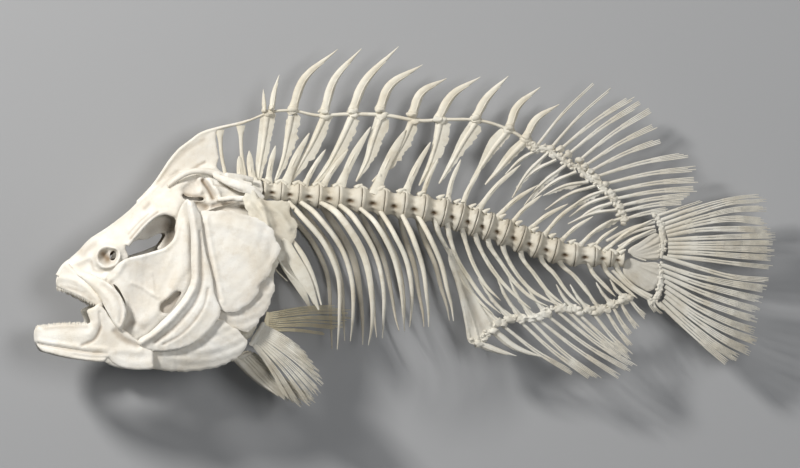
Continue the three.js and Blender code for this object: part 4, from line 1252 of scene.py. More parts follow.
# %% Anal fin
ANAL_BASE = [
    (59.2, -86.4), (68.8, -79.2), (77.6, -70.4), (88, -67.2), (104, -66.4), (116, -61.6),
    (128, -58.4), (140, -60), (156, -61.6), (169.6, -56), (182.4, -49.6),
]
ANAL_CARRIERS = [
    ((77.6, -70.4), (52.8, -40)), ((88, -67.2), (62.4, -35.2)), ((96, -67.2), (75.2, -28.8)),
    ((105.6, -66.4), (86.4, -33.6)), ((116, -62.4), (99.2, -36.8)), ((128, -59.2), (112.8, -38.4)),
    ((139.2, -60), (124.8, -40)), ((150.4, -60), (136, -40)), ((160, -60), (148, -40.8)),
    ((169.6, -56), (156.8, -38.4)), ((179.2, -51.2), (168, -36)),
]
ANAL_RAYS = [
    ((82, -72.8), (137.6, -110.4), -0.03), ((96, -69.6), (151.2, -113.6), -0.03),
    ((104, -68.8), (160, -116), -0.03), ((110.4, -68), (175.2, -113.6), -0.02),
    ((117.6, -64.8), (184, -108.8), -0.03), ((125.6, -61.6), (188.8, -106.4), -0.03),
    ((134.4, -61.6), (178.4, -98.4), -0.02), ((143.2, -64), (184.8, -99.2), -0.02),
    ((155.2, -64), (184.8, -96.8), -0.03), ((164.8, -61.6), (185.6, -90.4), -0.03),
    ((170.4, -58.4), (184.8, -80.8), -0.03), ((176, -54.4), (190, -75.2), -0.03),
    ((183.2, -51.2), (196.8, -66.4), -0.03),
]
ANAL_KNOBS = [
    (56.8, -84, 2.6), (61.6, -85.6, 2.8), (67.2, -84, 2.6), (72, -77.6, 2.6), (75.2, -72.8, 2.4),
]
STRUT = [
    (39.2, -11.2), (44.8, -20.8), (51.2, -32), (59.2, -46.4), (68, -61.6), (75.2, -71.2),
    (73.6, -77.6), (66.4, -86.4), (60, -88), (54.4, -85.6), (52, -73.6), (48.8, -57.6), (44, -38.4),
    (38.4, -20.8),
]
STRUT_RIDGES = [
    # places, height, width
    ([(39.2, -14.4), (44.8, -36.8), (50.4, -59.2), (55.2, -83.2)], 1.1, 1.3),
    ([(40.8, -17.6), (48, -40), (55.2, -60.8), (62.4, -83.2)], 1.5, 1.1),
    ([(41.6, -16), (50.4, -33.6), (60.8, -51.2), (72, -72)], 1.6, 1.4),
    ([(54.4, -52.8), (60.8, -65.6), (67.2, -80)], -0.7, 2.0),
    ([(45.6, -44.8), (52, -65.6), (57.6, -83.2)], -0.5, 1.0),
]
# painted shade in the concave strip between the strut's ridges
STRUT_SHADE = [(49.6, -41.6), (57.6, -57.6), (65.6, -75.2)]


def anal():
    bm = start_bone()
    base = smooth(ANAL_BASE, 80)
    bar(bm, base, [2.6, 2.4, 2.4, 2.4, 2.2, 1.8], [3.0, 2.8, 2.6, 2.2], sides=10, wave=0.3)
    pebbles(bm, base, 90, 3.4, 1.9)
    reliefs, painted_shades = ridges(STRUT_RIDGES), [ridge(STRUT_SHADE, 0.3, 2.6)]
    plate(bm, STRUT, mid_plane, 2.2, reliefs, cell=0.9, tints_and_shade=painted_shades, edge_share=0.6)
    for x, y, size in ANAL_KNOBS:
        lump(bm, (x, y, 0), (size, size * 0.8, 2.6))
    for top, tip in ANAL_CARRIERS:
        points = [p[:2] for p in bend(top, tip, 0.04)]
        carrier(bm, points, [3.4, 1.5, 1.2, 1.0, 0.4], [3.2, 1.6, 1.6, 1.2, 0.4], 0.4, core=2.8)
        lump(bm, (*top, -OFFSET / 2), (4.8, 3.8, 3.0))
        lump(bm, (top[0] + 3.4, top[1] + 0.6, 0), (2.6, 2.4, 2.4))
    fin_spine(bm, (62.4, -87.2), (74.4, -91.6), (93.2, -97), 5.6)
    fin_spine(bm, (74.4, -76.8), (89.6, -88.8), (114.8, -98.4), 6.0)
    for foot, tip, bow in ANAL_RAYS:
        soft_ray(bm, bend(foot, tip, bow), 2.3, 4.6, 2)
        lump(bm, (foot[0] + 0.6, foot[1] + 1.0, 0), (3.4, 2.6, 2.4))
    return bm


lay_down(anal(), "anal_fin_bones", "fin_ray_grey", ["anal_fin"])

# %% [markdown]
# The tail fin hangs on the last vertebra's fan of flat plates. Its rays clasp the plates'
# edge, run out and fork three times, so its outer edge is a comb of fine strands.

# %% Tail fin
# each ray's places, its breadth at the edge, and how often it forks
TAIL_UP = [
    ([(203.2, 13.6), (224, 20.4), (243.2, 26.8)], 2.4, 1),
    ([(207.2, 10.4), (232, 19.2), (257.6, 26.4), (276, 29.6), (290.4, 30.4)], 3.4, 2),
    ([(209.6, 7.2), (240, 17.6), (264, 24.4), (293.6, 26.4)], 4.0, 2),
    ([(211.2, 4), (240, 12.8), (268, 19.2), (293.6, 20.4)], 6.0, 3),
    ([(212.8, 1.2), (240, 8.4), (264, 12), (294.4, 9.6)], 7.6, 3),
    ([(213.6, -1.6), (240, 3.2), (268, 4), (296.8, 3.2)], 6.6, 3),
    ([(214.4, -4.8), (240, -3.2), (300.8, -1.2)], 5.6, 3),
    ([(214.4, -8), (240, -7.6), (301.6, -6.8)], 5.4, 3),
    ([(214.4, -11.2), (240, -11.2), (300, -12.8)], 6.4, 3),
    ([(214.4, -14.4), (240, -15.2), (272, -17.6), (300, -19.2)], 6.4, 3),
    ([(213.6, -17.6), (240, -20), (272, -24), (298.4, -26.8)], 4.4, 2),
]
TAIL_DOWN = [
    ([(209.6, -18), (240, -27.2), (268, -34.4), (295.2, -36.8)], 5.4, 2),
    ([(208, -24), (232, -32), (256, -37.6), (293.6, -44)], 7.6, 3),
    ([(208.8, -28.4), (240, -40), (264, -46.4), (290.4, -52.8)], 7.0, 3),
    ([(209.6, -32.8), (240, -45.6), (260, -52.8), (288, -61.2)], 6.8, 3),
    ([(211.2, -37.2), (240, -52.8), (264, -61.6), (286.4, -68.8)], 7.0, 3),
    ([(212, -41.6), (240, -59.2), (264, -70.4), (284, -77.2)], 7.0, 3),
    ([(212, -45.6), (240, -65.6), (264, -77.6), (285.6, -85.6)], 7.4, 3),
    ([(212, -49.6), (240, -71.2), (262.4, -85.6), (280.8, -94)], 8.0, 3),
    ([(210.4, -52.8), (236, -75.2), (254.4, -89.6), (270.4, -99.2)], 8.4, 3),
    ([(207.2, -54.8), (232, -77.6), (249.6, -92.8), (261.6, -102.4)], 6.0, 2),
    ([(204.8, -53.6), (208.8, -58.4), (215.2, -61.6)], 2.2, 1),
    ([(201.6, -52.8), (204.8, -59.2), (209.6, -63.6)], 2.2, 1),
    ([(198.4, -50.4), (200, -56), (204, -62)], 2.4, 1),
]
FAN_UP = [
    (182.4, -12.8), (192, -6.4), (204, 0.8), (208, -1.6), (208.8, -11.2), (207.2, -20),
    (194.4, -20), (185.6, -17.6),
]
FAN_DOWN = [
    (179.2, -22.4), (184, -19.2), (193.6, -22.4), (206.4, -23.2), (208, -32), (205.6, -40.8),
    (199.2, -45.6), (192, -42.4), (184.8, -37.6), (178.4, -30.4),
]
FAN_STRUTS = [
    ([(164.8, -5.6), (184, 4), (204, 9.6)], 3.2), ([(169.6, -7.2), (187.2, 1.6), (204, 6)], 2.8),
    ([(174.4, -10.4), (190.4, -2.4), (204.8, 2.8)], 3.6),
    ([(169.6, -28.8), (185.6, -43.2), (200, -52)], 3.6),
    ([(176, -32), (188.8, -43.2), (201.6, -49.6)], 3.2),
    ([(182.4, -14.4), (188.8, -18.4), (196.8, -21.2)], 1.6),
]
FAN_CENTRE = (177.6, -19.2)
FILLED = 0.88  # share of its room that a forked ray fills at the fin's edge
RAY_FOOT = 3.1  # its breadth at its foot
JOINT_UP = [(204, 14.8), (208, 9.6), (209.6, 1.6), (210, -9.6), (208.8, -19.2)]
JOINT_DOWN = [(207.2, -24), (208.4, -32.8), (208, -43.2), (204, -52), (200, -55.2)]


def tail_half(fan, struts, rays, joint):
    bm = start_bone()
    reliefs = [striae(*FAN_CENTRE, 44, 0.28, 6.0), striae(*FAN_CENTRE, 17, 0.35, 10.0)]
    plate(bm, fan, mid_plane, 2.4, reliefs, cell=0.7, tints_and_shade=[even_tint(0.2)])
    for points, wide in struts:
        shape = [wide * 0.7, wide, wide, wide * 0.8]
        bar(bm, smooth(points, 20), shape, [2.4, 2.0, 1.8, 2.0], sides=10, wave=0.05)
    line = smooth(joint, 40)
    bar(bm, line, [3.0, 4.6, 5.2, 4.6, 3.0], [2.4, 2.8, 2.8, 2.4], sides=12, wave=0.12)
    pebbles(bm, line, 44, 2.9, 2.3)
    for points, spread_out, depth in rays:
        if depth > 1:
            spread_out *= FILLED
        soft_ray(bm, points, min(RAY_FOOT, spread_out), spread_out, depth, thick=1.7, count=30)
    return bm


lay_down(
    tail_half(FAN_UP, FAN_STRUTS[:3], TAIL_UP, JOINT_UP),
    "upper_tail_fin", "fin_ray_grey", ["tail_fin_upper"],
)
lay_down(
    tail_half(FAN_DOWN, FAN_STRUTS[3:], TAIL_DOWN, JOINT_DOWN),
    "lower_tail_fin", "fin_ray_grey", ["tail_fin_lower"],
)

# %% [markdown]
# The skull has no simple outline. It is put together from overlapping bars and plates, and a
# voxel remesh grows them into one bone with soft fillets, as bone itself grows. Fine grooves
# and hollows are pressed in afterwards, because the voxels would lose them.

# %% Skull
BRAINCASE = [
    (-256, -25), (-243, -18), (-229, -7), (-213, 6), (-200, 21), (-186, 30), (-171, 34), (-152, 35),
    (-130, 36), (-111, 36),
]
BRAINCASE_BREADTH = [7, 12, 14, 15, 18, 24, 26, 22, 17, 13]
BRAINCASE_THICK = [6, 11, 12, 14, 20, 30, 34, 32, 26, 15]
CREST = [
    (-208, 26.8), (-200, 35.2), (-195.2, 41.6), (-191.2, 47.6), (-184, 58.4), (-180, 63.6),
    (-176, 67.6), (-168, 74), (-160, 79.6), (-152, 82.8), (-146.4, 83.6), (-147.2, 80),
    (-147.2, 74.4), (-146, 66.4), (-145.2, 60), (-146.8, 53.6), (-142.8, 46.4), (-147.2, 35.2),
    (-168, 23.2), (-200, 15.2),
]
CREST_RIM = [
    (-209.6, 24.8), (-200, 34.8), (-194.8, 41.2), (-190.4, 47.6), (-183.6, 58), (-175.6, 67.2),
    (-167.6, 73.2), (-160, 78.8), (-152, 82), (-143.2, 84.4), (-131.2, 87.2), (-120, 90.4),
]
roof_height = profile([
    (-275.2, -37.6), (-270.4, -28.8), (-264, -20.8), (-256, -13.6), (-246.4, -3.6), (-236.8, 2.4),
    (-225.6, 10.4), (-216, 18), (-208, 25.6), (-200, 32.8), (-192, 40), (-182.4, 45.6),
    (-171.2, 50.4), (-160, 52.8), (-147.2, 51.2), (-139.2, 45.6), (-120, 42.4), (-108.8, 37.6),
])
head_breadth = profile([
    (-265, 7), (-256, 11), (-240, 14.5), (-226, 17.5), (-212, 20.5), (-190, 23.5), (-170, 24),
    (-150, 22.5), (-120, 21.5), (-100, 21),
])
SKULL_SIDE = [
    (-266.4, -24), (-256, -14.4), (-246.4, -4.4), (-236.8, 1.6), (-225.6, 9.6), (-216, 17.2),
    (-208, 24.8), (-200, 32), (-192, 38.4), (-182.4, 44), (-172.8, 49.2), (-160, 51.2),
    (-148.8, 50), (-139.2, 44.4), (-128, 42.4), (-118.4, 40.8), (-110.4, 37.6), (-110.4, 32),
    (-120, 28), (-128, 25.6), (-134.4, 23.6), (-147.2, 20.4), (-156.8, 16.8), (-164.8, 12),
    (-172.8, 4.8), (-177.6, -1.6), (-180, 3.2), (-179.2, 10.4), (-182.4, 15.2), (-188.8, 16.4),
    (-196.8, 13.2), (-204, 6.4), (-211.2, -2), (-217.6, -7.2), (-219.2, -11.2), (-216.8, -17.6),
    (-219.2, -24.8), (-224.8, -32), (-230.4, -37.6), (-236.8, -39.2), (-244.8, -36), (-252.8, -32),
    (-260.8, -28.8),
]
NOSTRIL, NOSTRIL_RIM = (-234, -18), 8.4
NOSTRIL_HOLE = [
    (-231.2, -15.2), (-229.2, -13.2), (-226.8, -14.4), (-226.8, -18), (-228.8, -20.8),
    (-231.2, -20),
]
TEMPLE_SLIT = [
    (-174.4, 32), (-170.4, 29.6), (-164, 28.8), (-156.8, 28.6), (-157.2, 26.6), (-165.6, 26.6),
    (-172, 27.6),
]
SKULL_BARS = [
    # places with their width from the mid-plane, breadth, thickness
    ([(-219.9, -8.8, 19), (-212.9, 0, 21), (-205.9, 8, 22.5), (-198.8, 14.4, 23.5), (-190.9, 17.2, 24),
      (-182.9, 15.2, 24)],
     [4.5, 4.2, 4.2, 4.5, 4.5, 4.5], [5, 5, 5, 4.5, 4]),
    ([(-187.9, 37.6, 19), (-179.9, 44, 19), (-171.9, 48.4, 19), (-162.3, 50, 19), (-151.9, 48.8, 19),
      (-143.2, 44.8, 20), (-133.6, 40.8, 20), (-120.8, 38.4, 20)], [3, 4.4, 5, 5, 6, 7, 7, 5],
      [3, 4.4, 4.4, 4, 3]),
    ([(-151.3, 46.4, 21), (-142.3, 42.4, 26), (-131.5, 37.6, 29.5), (-122.1, 34.4, 30.5),
      (-112.3, 28, 29)], [4, 7, 9, 8, 4], [3, 4, 4, 3.4, 2.4]),
    ([(-148.5, 27.2, 24), (-139.2, 28, 26.5), (-128.2, 28, 28.5), (-120.3, 28.8, 29.5)],
     [3.4, 5, 5, 3.4], [3, 3.6, 3.4, 2.4]),
    ([(-141.6, 46.4, 20), (-131.6, 44.8, 17), (-119.8, 42.4, 12)], [5, 6, 6], [5, 6, 6]),
]
SKULL_KEEL = [(-240, -24), (-218, -20), (-196, -12), (-168, 6), (-140, 22), (-116, 32)]
EYE_WALL = [
    (-218.4, -8.8), (-210.4, -5.2), (-201.6, -4.2), (-193.6, -0.2), (-188, -0.2), (-190.4, -5.6),
    (-194.4, -12), (-185.6, -14.4), (-174.4, -4.8), (-171.2, 8), (-179.2, 20.8), (-192, 22.4),
    (-204.8, 14.4), (-216, 1.6),
]
EAR_WALL = [
    (-160, 25.6), (-139.2, 28.8), (-120, 31.2), (-110.4, 27.2), (-113.6, 17.6), (-126.4, 12),
    (-142.4, 13.6), (-158.4, 15.2),
]
EYE_WALL_HOLLOW = [(-200, 6.4), (-187.2, 6.4), (-182.4, -3.2)]
EAR_WALL_HOLLOW = [(-152, 20.8), (-137.6, 22.4), (-123.2, 25.6)]
LEAN = 0.12  # millimetres that a place lies farther forward for each one from the mid-plane
ROOF_HALF_WIDTH, ROOF_BEND = 3.0, 9.0  # of the roof, and how fast the sides fall off from it
VOXEL, FILLET_ROUNDS = 0.84, 2


def side_of_skull(xy, extra):
    """Places on the skull's side, which slopes outwards from its roof."""
    below = np.maximum(0.0, roof_height(xy[:, 0]) - xy[:, 1])
    slope = 1 - np.exp(-below / ROOF_BEND)
    width = ROOF_HALF_WIDTH + (head_breadth(xy[:, 0]) - ROOF_HALF_WIDTH) * slope
    return np.stack([xy[:, 0] - LEAN * width, xy[:, 1], width + extra], axis=1)


def upright(z):
    """Places on a wall beside the mid-plane, z millimetres from it."""
    return lambda xy, extra: np.stack([xy[:, 0] - LEAN * z, xy[:, 1], z + extra], axis=1)


def nostril(xy):
    """The nostril's raised ring and the dip inside it."""
    r = np.linalg.norm(xy - np.array(NOSTRIL), axis=1)
    return 4.2 * np.exp(-(((r - NOSTRIL_RIM) / 2.3) ** 2)) - 2.6 * np.exp(-((r / 5.4) ** 4))


SKULL_RELIEFS = [
    # places, height, width
    ([(-225.6, -10.4), (-224, -17.6), (-226.4, -25.6)], 2.2, 4.6),
    ([(-243.2, -26.4), (-236.8, -29.6), (-229.6, -26.4)], -1.2, 1.4),
    ([(-252.8, -15.2), (-248, -10.4), (-244, -7.2)], -1.6, 3.6),
    ([(-254.4, -25.6), (-248.8, -22.4)], -1.2, 3.6),
    ([(-264, -25.6), (-257.6, -22.4), (-249.6, -19.2)], 0.8, 2.0),
    ([(-244.8, -33.6), (-236.8, -35.2), (-228.8, -32)], 1.0, 3.0),
    ([(-212.8, 1.6), (-204.8, 8.8), (-195.2, 16)], -1.3, 1.5),
    ([(-203.2, 21.6), (-200, 24.8)], -1.4, 2.6),
    ([(-194.4, 33.6), (-187.2, 40.8), (-179.2, 44.8)], -1.0, 2.4),
    ([(-200, 24.8), (-188.8, 33.6), (-177.6, 40)], 1.2, 3.0),
    ([(-170.4, 34.4), (-166.4, 38.4), (-162.4, 40.8)], -4.2, 4.0),
    ([(-160, 35.2), (-156.8, 30.4)], -3.4, 4.0),
    ([(-160, 43.2), (-159.2, 33.6)], 2.6, 2.4),
    ([(-156.8, 42.4), (-152.8, 36.8), (-148.8, 29.6)], -2.6, 1.6),
    ([(-152.8, 43.2), (-148, 36.8), (-144, 29.6)], 1.8, 1.8),
    ([(-219.2, -7.2), (-213.6, 0.4), (-204.8, 9.2), (-195.2, 17.6)], 1.0, 1.1),
    ([(-148.8, 40.8), (-137.6, 40), (-124.8, 35.2)], -1.4, 1.6),
    ([(-179.2, 24), (-177.6, 11.2), (-176, 1.6)], 1.0, 5.0),
    ([(-162.4, 22.4), (-155.2, 20)], -3.0, 3.8),
    ([(-148.8, 22.4), (-140.8, 24.8), (-132.8, 27.2)], -1.6, 2.4),
    ([(-144, 38.4), (-132.8, 35.2), (-121.6, 35.2)], 1.6, 6.0),
    ([(-142.4, 31.2), (-131.2, 32)], -0.7, 1.6),
]


def skull():
    bm = start_bone()
    bar(bm, smooth(BRAINCASE, 60), BRAINCASE_BREADTH, BRAINCASE_THICK, sides=24)
    plate(bm, CREST, mid_plane, 2.8, cell=1.6, edge_share=0.7)
    bar(bm, smooth(CREST_RIM, 60), [3.6, 3.4, 3.2, 3.0, 3.0, 2.6, 2.0], [5.0, 4.6, 4.4, 4.2, 4.0, 3.0],
        sides=12)
    roof_x = np.linspace(-270, -118, 50)
    roof = np.stack([roof_x, roof_height(roof_x) - 1.6, 0 * roof_x], axis=1)
    bar(bm, roof, [4.0, 4.4, 4.4, 4.4, 4.4, 4.4], [7, 8.4, 8.4, 8.4, 8.4, 8.4], sides=12)
    bar(bm, smooth(SKULL_KEEL, 24), [6, 5, 4.5, 5, 8], [7, 5, 4.5, 6, 10], sides=12)
    half = start_bone()
    plate(half, SKULL_SIDE, side_of_skull, 3.2, [*ridges(SKULL_RELIEFS), nostril],
          holes=[NOSTRIL_HOLE, TEMPLE_SLIT], cell=0.8, edge_share=0.7)
    plate(half, EYE_WALL, upright(11.0), 3.0, [ridge(EYE_WALL_HOLLOW, -1.2, 6.0)], cell=1.2)
    plate(half, EAR_WALL, upright(19.0), 3.0, [ridge(EAR_WALL_HOLLOW, -1.0, 3.0)], cell=1.2)
    for points, breadth, thick in SKULL_BARS:
        bar(half, smooth(points, 26), breadth, thick, sides=12)
    add_copy(bm, half)
    bmesh.ops.scale(half, vec=(1, 1, -1), verts=half.verts)
    add_copy(bm, half)
    half.free()
    return bm


def grown_together(bm, voxel, softness):
    """The parts of bm as one closed skin, smoothed softness times."""
    bmesh.ops.recalc_face_normals(bm, faces=bm.faces)
    mesh = bpy.data.meshes.new("parts")
    bm.to_mesh(mesh)
    bm.free()
    parts = bpy.data.objects.new("parts", mesh)
    bpy.context.scene.collection.objects.link(parts)
    skin = parts.modifiers.new("one skin", "REMESH")
    skin.mode, skin.voxel_size, skin.adaptivity = "VOXEL", voxel, 0.0
    soft = parts.modifiers.new("fillets", "SMOOTH")
    soft.factor, soft.iterations = 0.5, softness
    solid = parts.evaluated_get(bpy.context.evaluated_depsgraph_get()).to_mesh()
    grown = start_bone()
    grown.from_mesh(solid)
    bpy.data.objects.remove(parts)
    bpy.data.meshes.remove(mesh)
    return grown


def press(bm, dents):
    """Presses grooves into a bone's sides and darkens them with painted shade. Each is a line in the side
    view.
    """
    tint_and_painted_shade = bm.verts.layers.float["tint_and_painted_shade"]
    bm.normal_update()
    xy = np.array([v.co[:2] for v in bm.verts])
    away = np.array([abs(v.co.z) for v in bm.verts])
    for points, depth, width, tint, deepest in dents:
        gap = nearest(smooth(points, 30)[:, :2], xy + np.stack([LEAN * away, 0 * away], axis=1))[0]
        strength = np.exp(-((gap / width) ** 2))
        for v, k in zip(bm.verts, strength):
            if k > 0.02 and abs(v.co.z) < deepest:
                v.co -= v.normal * (depth * k * min(1.0, abs(v.normal.z) * 1.5))
                v[tint_and_painted_shade] = min(1.0, v[tint_and_painted_shade] + tint * k)


EVERYWHERE = 99  # farther from the mid-plane than any place of the skull
SKULL_DENTS = [
    # places, depth, width, painted shade, and how far from the mid-plane it reaches
    ([(-215.2, -3.2), (-209.6, 3.6), (-202.4, 10.8), (-193.6, 17.6)], 0.8, 1.1, 0.5, EVERYWHERE),
    ([(-216.8, 0), (-209.6, 8), (-200.8, 16)], 0.3, 0.8, 0.3, EVERYWHERE),
    ([(-172.8, 31.2), (-165.6, 30.4), (-156.8, 28.8)], 0.6, 1.6, 0.6, EVERYWHERE),
    ([(-169.6, 34.4), (-165.6, 38.4), (-161.6, 40)], 0.2, 3.4, 0.34, EVERYWHERE),
    ([(-157.6, 42.4), (-153.6, 36.8), (-149.6, 28.8)], 0.8, 2.0, 0.8, EVERYWHERE),
    ([(-155.2, 19.2), (-139.2, 20), (-123.2, 21.6)], 0.2, 4.0, 0.3, 22),
    ([(-161.6, 24), (-155.2, 21.6)], 0.6, 2.8, 0.5, EVERYWHERE),
    ([(-150.4, 21.6), (-140.8, 24), (-132.8, 26.4)], 0.5, 1.4, 0.45, EVERYWHERE),
    ([(-148.8, 39.2), (-139.2, 37.6), (-126.4, 33.6)], 0.7, 1.0, 0.35, EVERYWHERE),
    ([(-252.8, -15.2), (-248.8, -11.2), (-244.8, -8)], 0.4, 3.4, 0.34, EVERYWHERE),
    ([(-254.4, -25.6), (-248.8, -22.4)], 0.3, 3.6, 0.26, EVERYWHERE),
    ([(-236.8, -16), (-233.6, -20)], 0.3, 3.6, 0.95, EVERYWHERE),
    ([(-233.6, -12.8), (-228.8, -20.8)], 0.0, 6.0, 1.0, 9.5),
    ([(-246.4, -22.4), (-244, -28), (-237.6, -30.4)], 0.5, 1.2, 0.35, EVERYWHERE),
    ([(-200, 1.6), (-192, 6.4), (-185.6, -3.2)], 0.1, 6.0, 0.34, 15.5),
    ([(-185.6, 8), (-181.6, 1.6), (-185.6, -8)], 0.2, 4.0, 0.4, 25),
    ([(-204, 20.8), (-200.8, 24)], 0.5, 1.8, 0.4, EVERYWHERE),
    ([(-190.4, 37.6), (-184, 44.8), (-177.6, 49.6)], 0.5, 1.4, 0.2, EVERYWHERE),
    ([(-170.4, 48.4), (-164, 52.8), (-156, 56.8)], 0.9, 1.1, 0.5, 6),
    ([(-193.6, 40), (-182.4, 54.4), (-171.2, 65.6), (-156.8, 74.4)], 0.4, 1.8, 0.22, 4),
    ([(-179.2, 48), (-168, 57.6), (-153.6, 64)], 0.1, 7.0, 0.14, 4),
]
head = grown_together(skull(), VOXEL, FILLET_ROUNDS)
press(head, SKULL_DENTS)
lay_down(head, "skull_bone", "bone_white", ["skull"])

# %% [markdown]
# Dry bone is matt, slightly uneven in tone, stained in places and finely grained. One group
# makes those differences from places on the bone, and each kind of bone mixes its own colours
# with them. The darker, browner colour of grease on the vertebrae and of painted shade in pits,
# grooves and recesses comes with the shapes.

# %% Bone grain
def grain_group():
    group = bpy.data.node_groups.new("bone grain", "ShaderNodeTree")
    for name in ("Tone", "Stain", "Height"):
        group.interface.new_socket(name, in_out="OUTPUT", socket_type="NodeSocketFloat")
    nodes, links = group.nodes, group.links
    out = nodes.new("NodeGroupOutput")
    place = nodes.new("ShaderNodeTexCoord")

    def noise_at(scale, detail, rough=0.6):
        tex = nodes.new("ShaderNodeTexNoise")
        tex.inputs["Scale"].default_value = scale
        tex.inputs["Detail"].default_value = detail
        tex.inputs["Roughness"].default_value = rough
        links.new(place.outputs["Object"], tex.inputs["Vector"])
        return tex.outputs["Fac"]

    def stretched(value, low, high):
        node = nodes.new("ShaderNodeMapRange")
        node.inputs["From Min"].default_value = low
        node.inputs["From Max"].default_value = high
        links.new(value, node.inputs["Value"])
        return node.outputs["Result"]

    def combine(kind, a, b):
        node = nodes.new("ShaderNodeMath")
        node.operation = kind
        for socket, value in zip(node.inputs, (a, b)):
            if isinstance(value, (int, float)):
                socket.default_value = value
            else:
                links.new(value, socket)
        return node.outputs[0]

    links.new(stretched(noise_at(38.0, 4.0), 0.3, 0.7), out.inputs["Tone"])
    links.new(stretched(noise_at(95.0, 6.0, 0.7), 0.5, 0.75), out.inputs["Stain"])
    pores = stretched(noise_at(900.0, 2.0), 0.35, 0.65)
    waves = noise_at(260.0, 4.0)
    links.new(combine("ADD", combine("MULTIPLY", pores, 0.35), waves), out.inputs["Height"])
    return group


GRAIN = grain_group()

# %% [markdown]
# Four kinds of bone: white head bones, ivory backbone and ribs, greyish rays and one browner
# fin. Each mixes in its darkest colour by the value that the shapes carry for grease, tone and
# painted shade, and rays are cut across by fine joints, which the along value places.

# %% Bone materials
ROUGHNESS, SHEEN, STAIN_SHARE = 0.62, 0.35, 0.35
BUMP, BUMP_HEIGHT = 0.35, 0.0006  # strength, and height in metres
JOINT_GAP, JOINT_WIDTH = 1.1, 0.16  # between two joints of a ray, and over each, in millimetres
JOINT_BUMP, JOINT_DEPTH = 0.25, 0.0002


def bone(slot, pale, warm, stain, pit, jointed=False):
    """A kind of bone out of its two tones, the colour of its stains, and a dark colour that the shapes mix
    in for grease and for painted shade.
    """
    material = bpy.data.materials.new(slot)
    material.use_nodes = True
    nodes, links = material.node_tree.nodes, material.node_tree.links
    shader = nodes["Principled BSDF"]
    grain = nodes.new("ShaderNodeGroup")
    grain.node_tree = GRAIN

    def mixed(a, b, share):
        node = nodes.new("ShaderNodeMix")
        node.data_type = "RGBA"
        for name, value in (("A", a), ("B", b)):
            socket = next(s for s in node.inputs if s.name == name and s.type == "RGBA")
            if isinstance(value, tuple):
                socket.default_value = (*value, 1.0)
            else:
                links.new(value, socket)
        links.new(share, node.inputs["Factor"])
        return next(s for s in node.outputs if s.type == "RGBA")

    def scaled(value, by):
        node = nodes.new("ShaderNodeMath")
        node.operation = "MULTIPLY"
        node.use_clamp = True
        links.new(value, node.inputs[0])
        node.inputs[1].default_value = by
        return node.outputs[0]

    colour = mixed(pale, warm, grain.outputs["Tone"])
    colour = mixed(colour, stain, scaled(grain.outputs["Stain"], STAIN_SHARE))
    # grease and painted shade: the value the shapes carry mixes in the dark colour
    tint_and_shade_mask = nodes.new("ShaderNodeAttribute")
    tint_and_shade_mask.attribute_name = "tint_and_painted_shade"
    colour = mixed(colour, pit, tint_and_shade_mask.outputs["Fac"])
    links.new(colour, shader.inputs["Base Color"])
    shader.inputs["Roughness"].default_value = ROUGHNESS
    shader.inputs["Specular IOR Level"].default_value = SHEEN
    bump = nodes.new("ShaderNodeBump")
    bump.inputs["Strength"].default_value = BUMP
    bump.inputs["Distance"].default_value = BUMP_HEIGHT
    links.new(grain.outputs["Height"], bump.inputs["Height"])
    if jointed:
        along = nodes.new("ShaderNodeAttribute")
        along.attribute_name = "along"
        wave = nodes.new("ShaderNodeMath")
        wave.operation = "PINGPONG"
        links.new(along.outputs["Fac"], wave.inputs[0])
        wave.inputs[1].default_value = JOINT_GAP
        cut = nodes.new("ShaderNodeMapRange")
        cut.inputs["From Max"].default_value = JOINT_WIDTH
        links.new(wave.outputs[0], cut.inputs["Value"])
        joints = nodes.new("ShaderNodeBump")
        joints.inputs["Strength"].default_value = JOINT_BUMP
        joints.inputs["Distance"].default_value = JOINT_DEPTH
        links.new(cut.outputs["Result"], joints.inputs["Height"])
        links.new(bump.outputs["Normal"], joints.inputs["Normal"])
        links.new(joints.outputs["Normal"], shader.inputs["Normal"])
    else:
        links.new(bump.outputs["Normal"], shader.inputs["Normal"])
    return material


COLOURS = {
    # pale tone, warm tone, stains, and the dark colour of grease and painted shade
    "bone_white": [(0.84, 0.82, 0.765), (0.73, 0.675, 0.575), (0.50, 0.40, 0.27), (0.20, 0.135, 0.075)],
    "bone_ivory": [(0.75, 0.72, 0.63), (0.62, 0.565, 0.45), (0.36, 0.28, 0.17), (0.11, 0.068, 0.03)],
    "fin_ray_grey": [(0.70, 0.68, 0.615), (0.56, 0.515, 0.42), (0.32, 0.26, 0.175), (0.11, 0.075, 0.04)],
    "fin_ray_tan": [(0.80, 0.735, 0.56), (0.62, 0.54, 0.36), (0.28, 0.21, 0.11), (0.08, 0.05, 0.025)],
}
BONES = {slot: bone(slot, *colours, jointed="ray" in slot) for slot, colours in COLOURS.items()}
for made in MADE:
    made.data.materials.append(BONES[made["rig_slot"]])
print("pieces with their bone:", len(MADE))

# %% [markdown]
# Most of the light comes from one strong soft lamp beyond the fish's back and snout, so each
# bone throws a short soft shadow and reads against its neighbour. A weak fill stands opposite,
# and a broad lamp hangs overhead. The floor is plain and clearly darker than the bones.

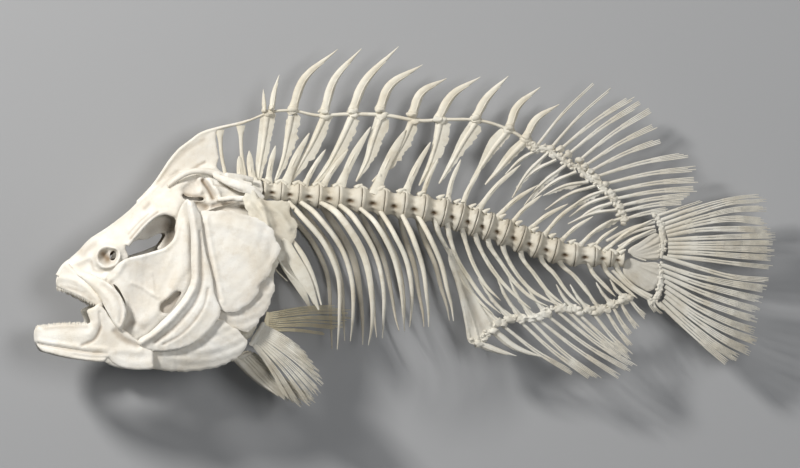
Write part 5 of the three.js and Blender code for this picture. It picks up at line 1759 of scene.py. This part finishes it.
# %% Floor
FLOOR_SIZE = 4.0  # metres
bm = bmesh.new()
bmesh.ops.create_grid(bm, x_segments=1, y_segments=1, size=FLOOR_SIZE)
floor_mesh = bpy.data.meshes.new("floor")
bm.to_mesh(floor_mesh)
bm.free()
floor = bpy.data.objects.new("floor", floor_mesh)
bpy.context.scene.collection.objects.link(floor)
paper = bpy.data.materials.new("floor paper")
paper.use_nodes = True
shader = paper.node_tree.nodes["Principled BSDF"]
shader.inputs["Base Color"].default_value = (0.36, 0.363, 0.37, 1.0)
shader.inputs["Roughness"].default_value = 0.9
floor_mesh.materials.append(paper)

# %% Lights
def soft_lamp(name, place, size, power, colour=(1.0, 1.0, 1.0)):
    lamp = bpy.data.lights.new(name, "AREA")
    lamp.shape, lamp.size, lamp.energy, lamp.color = "DISK", size, power, colour
    holder = bpy.data.objects.new(name, lamp)
    holder.location = place
    holder.rotation_euler = (-Vector(place)).to_track_quat("-Z", "Y").to_euler()
    bpy.context.scene.collection.objects.link(holder)


# place in metres, size, power and colour
soft_lamp("key", (-1.55, 1.4, 1.35), 0.45, 66.0, (1.0, 0.985, 0.96))
soft_lamp("fill", (1.5, -1.1, 1.5), 1.8, 4.0, (0.92, 0.96, 1.0))
soft_lamp("top", (0.55, 0.35, 2.3), 0.9, 19.0)
world = bpy.data.worlds.new("room")
world.use_nodes = True
background = world.node_tree.nodes["Background"]
background.inputs["Color"].default_value = (0.9, 0.95, 1.0, 1.0)
background.inputs["Strength"].default_value = 0.08
bpy.context.scene.world = world
bpy.context.scene.view_settings.view_transform = "Standard"  # keeps pale tones apart

# %% [markdown]
# The camera looks down with a long lens, as is usual for a specimen, so near and far bones keep
# one scale. It is turned a little towards the head, in the fish's own frame.

# %% Camera
DISTANCE, VIEW_WIDTH, SENSOR = 11.0, 0.635, 36.0
TOWARDS_HEAD = math.radians(7.0)
camera = bpy.data.objects.new("camera", bpy.data.cameras.new("camera"))
camera.data.sensor_width = SENSOR
camera.data.lens = SENSOR * DISTANCE / VIEW_WIDTH
camera.data.clip_end = 20.0
turned = LAID.to_3x3().normalized().to_4x4() @ Matrix.Rotation(-TOWARDS_HEAD, 4, "Y")
look = turned.to_3x3() @ Vector((0, 0, 1))
aim = LAID @ Vector((-0.4, 0.0, 0.0))
camera.matrix_world = Matrix.Translation(aim + look * DISTANCE) @ turned
bpy.context.scene.collection.objects.link(camera)
bpy.context.scene.camera = camera
print("camera at:", [round(c, 3) for c in camera.matrix_world.translation])
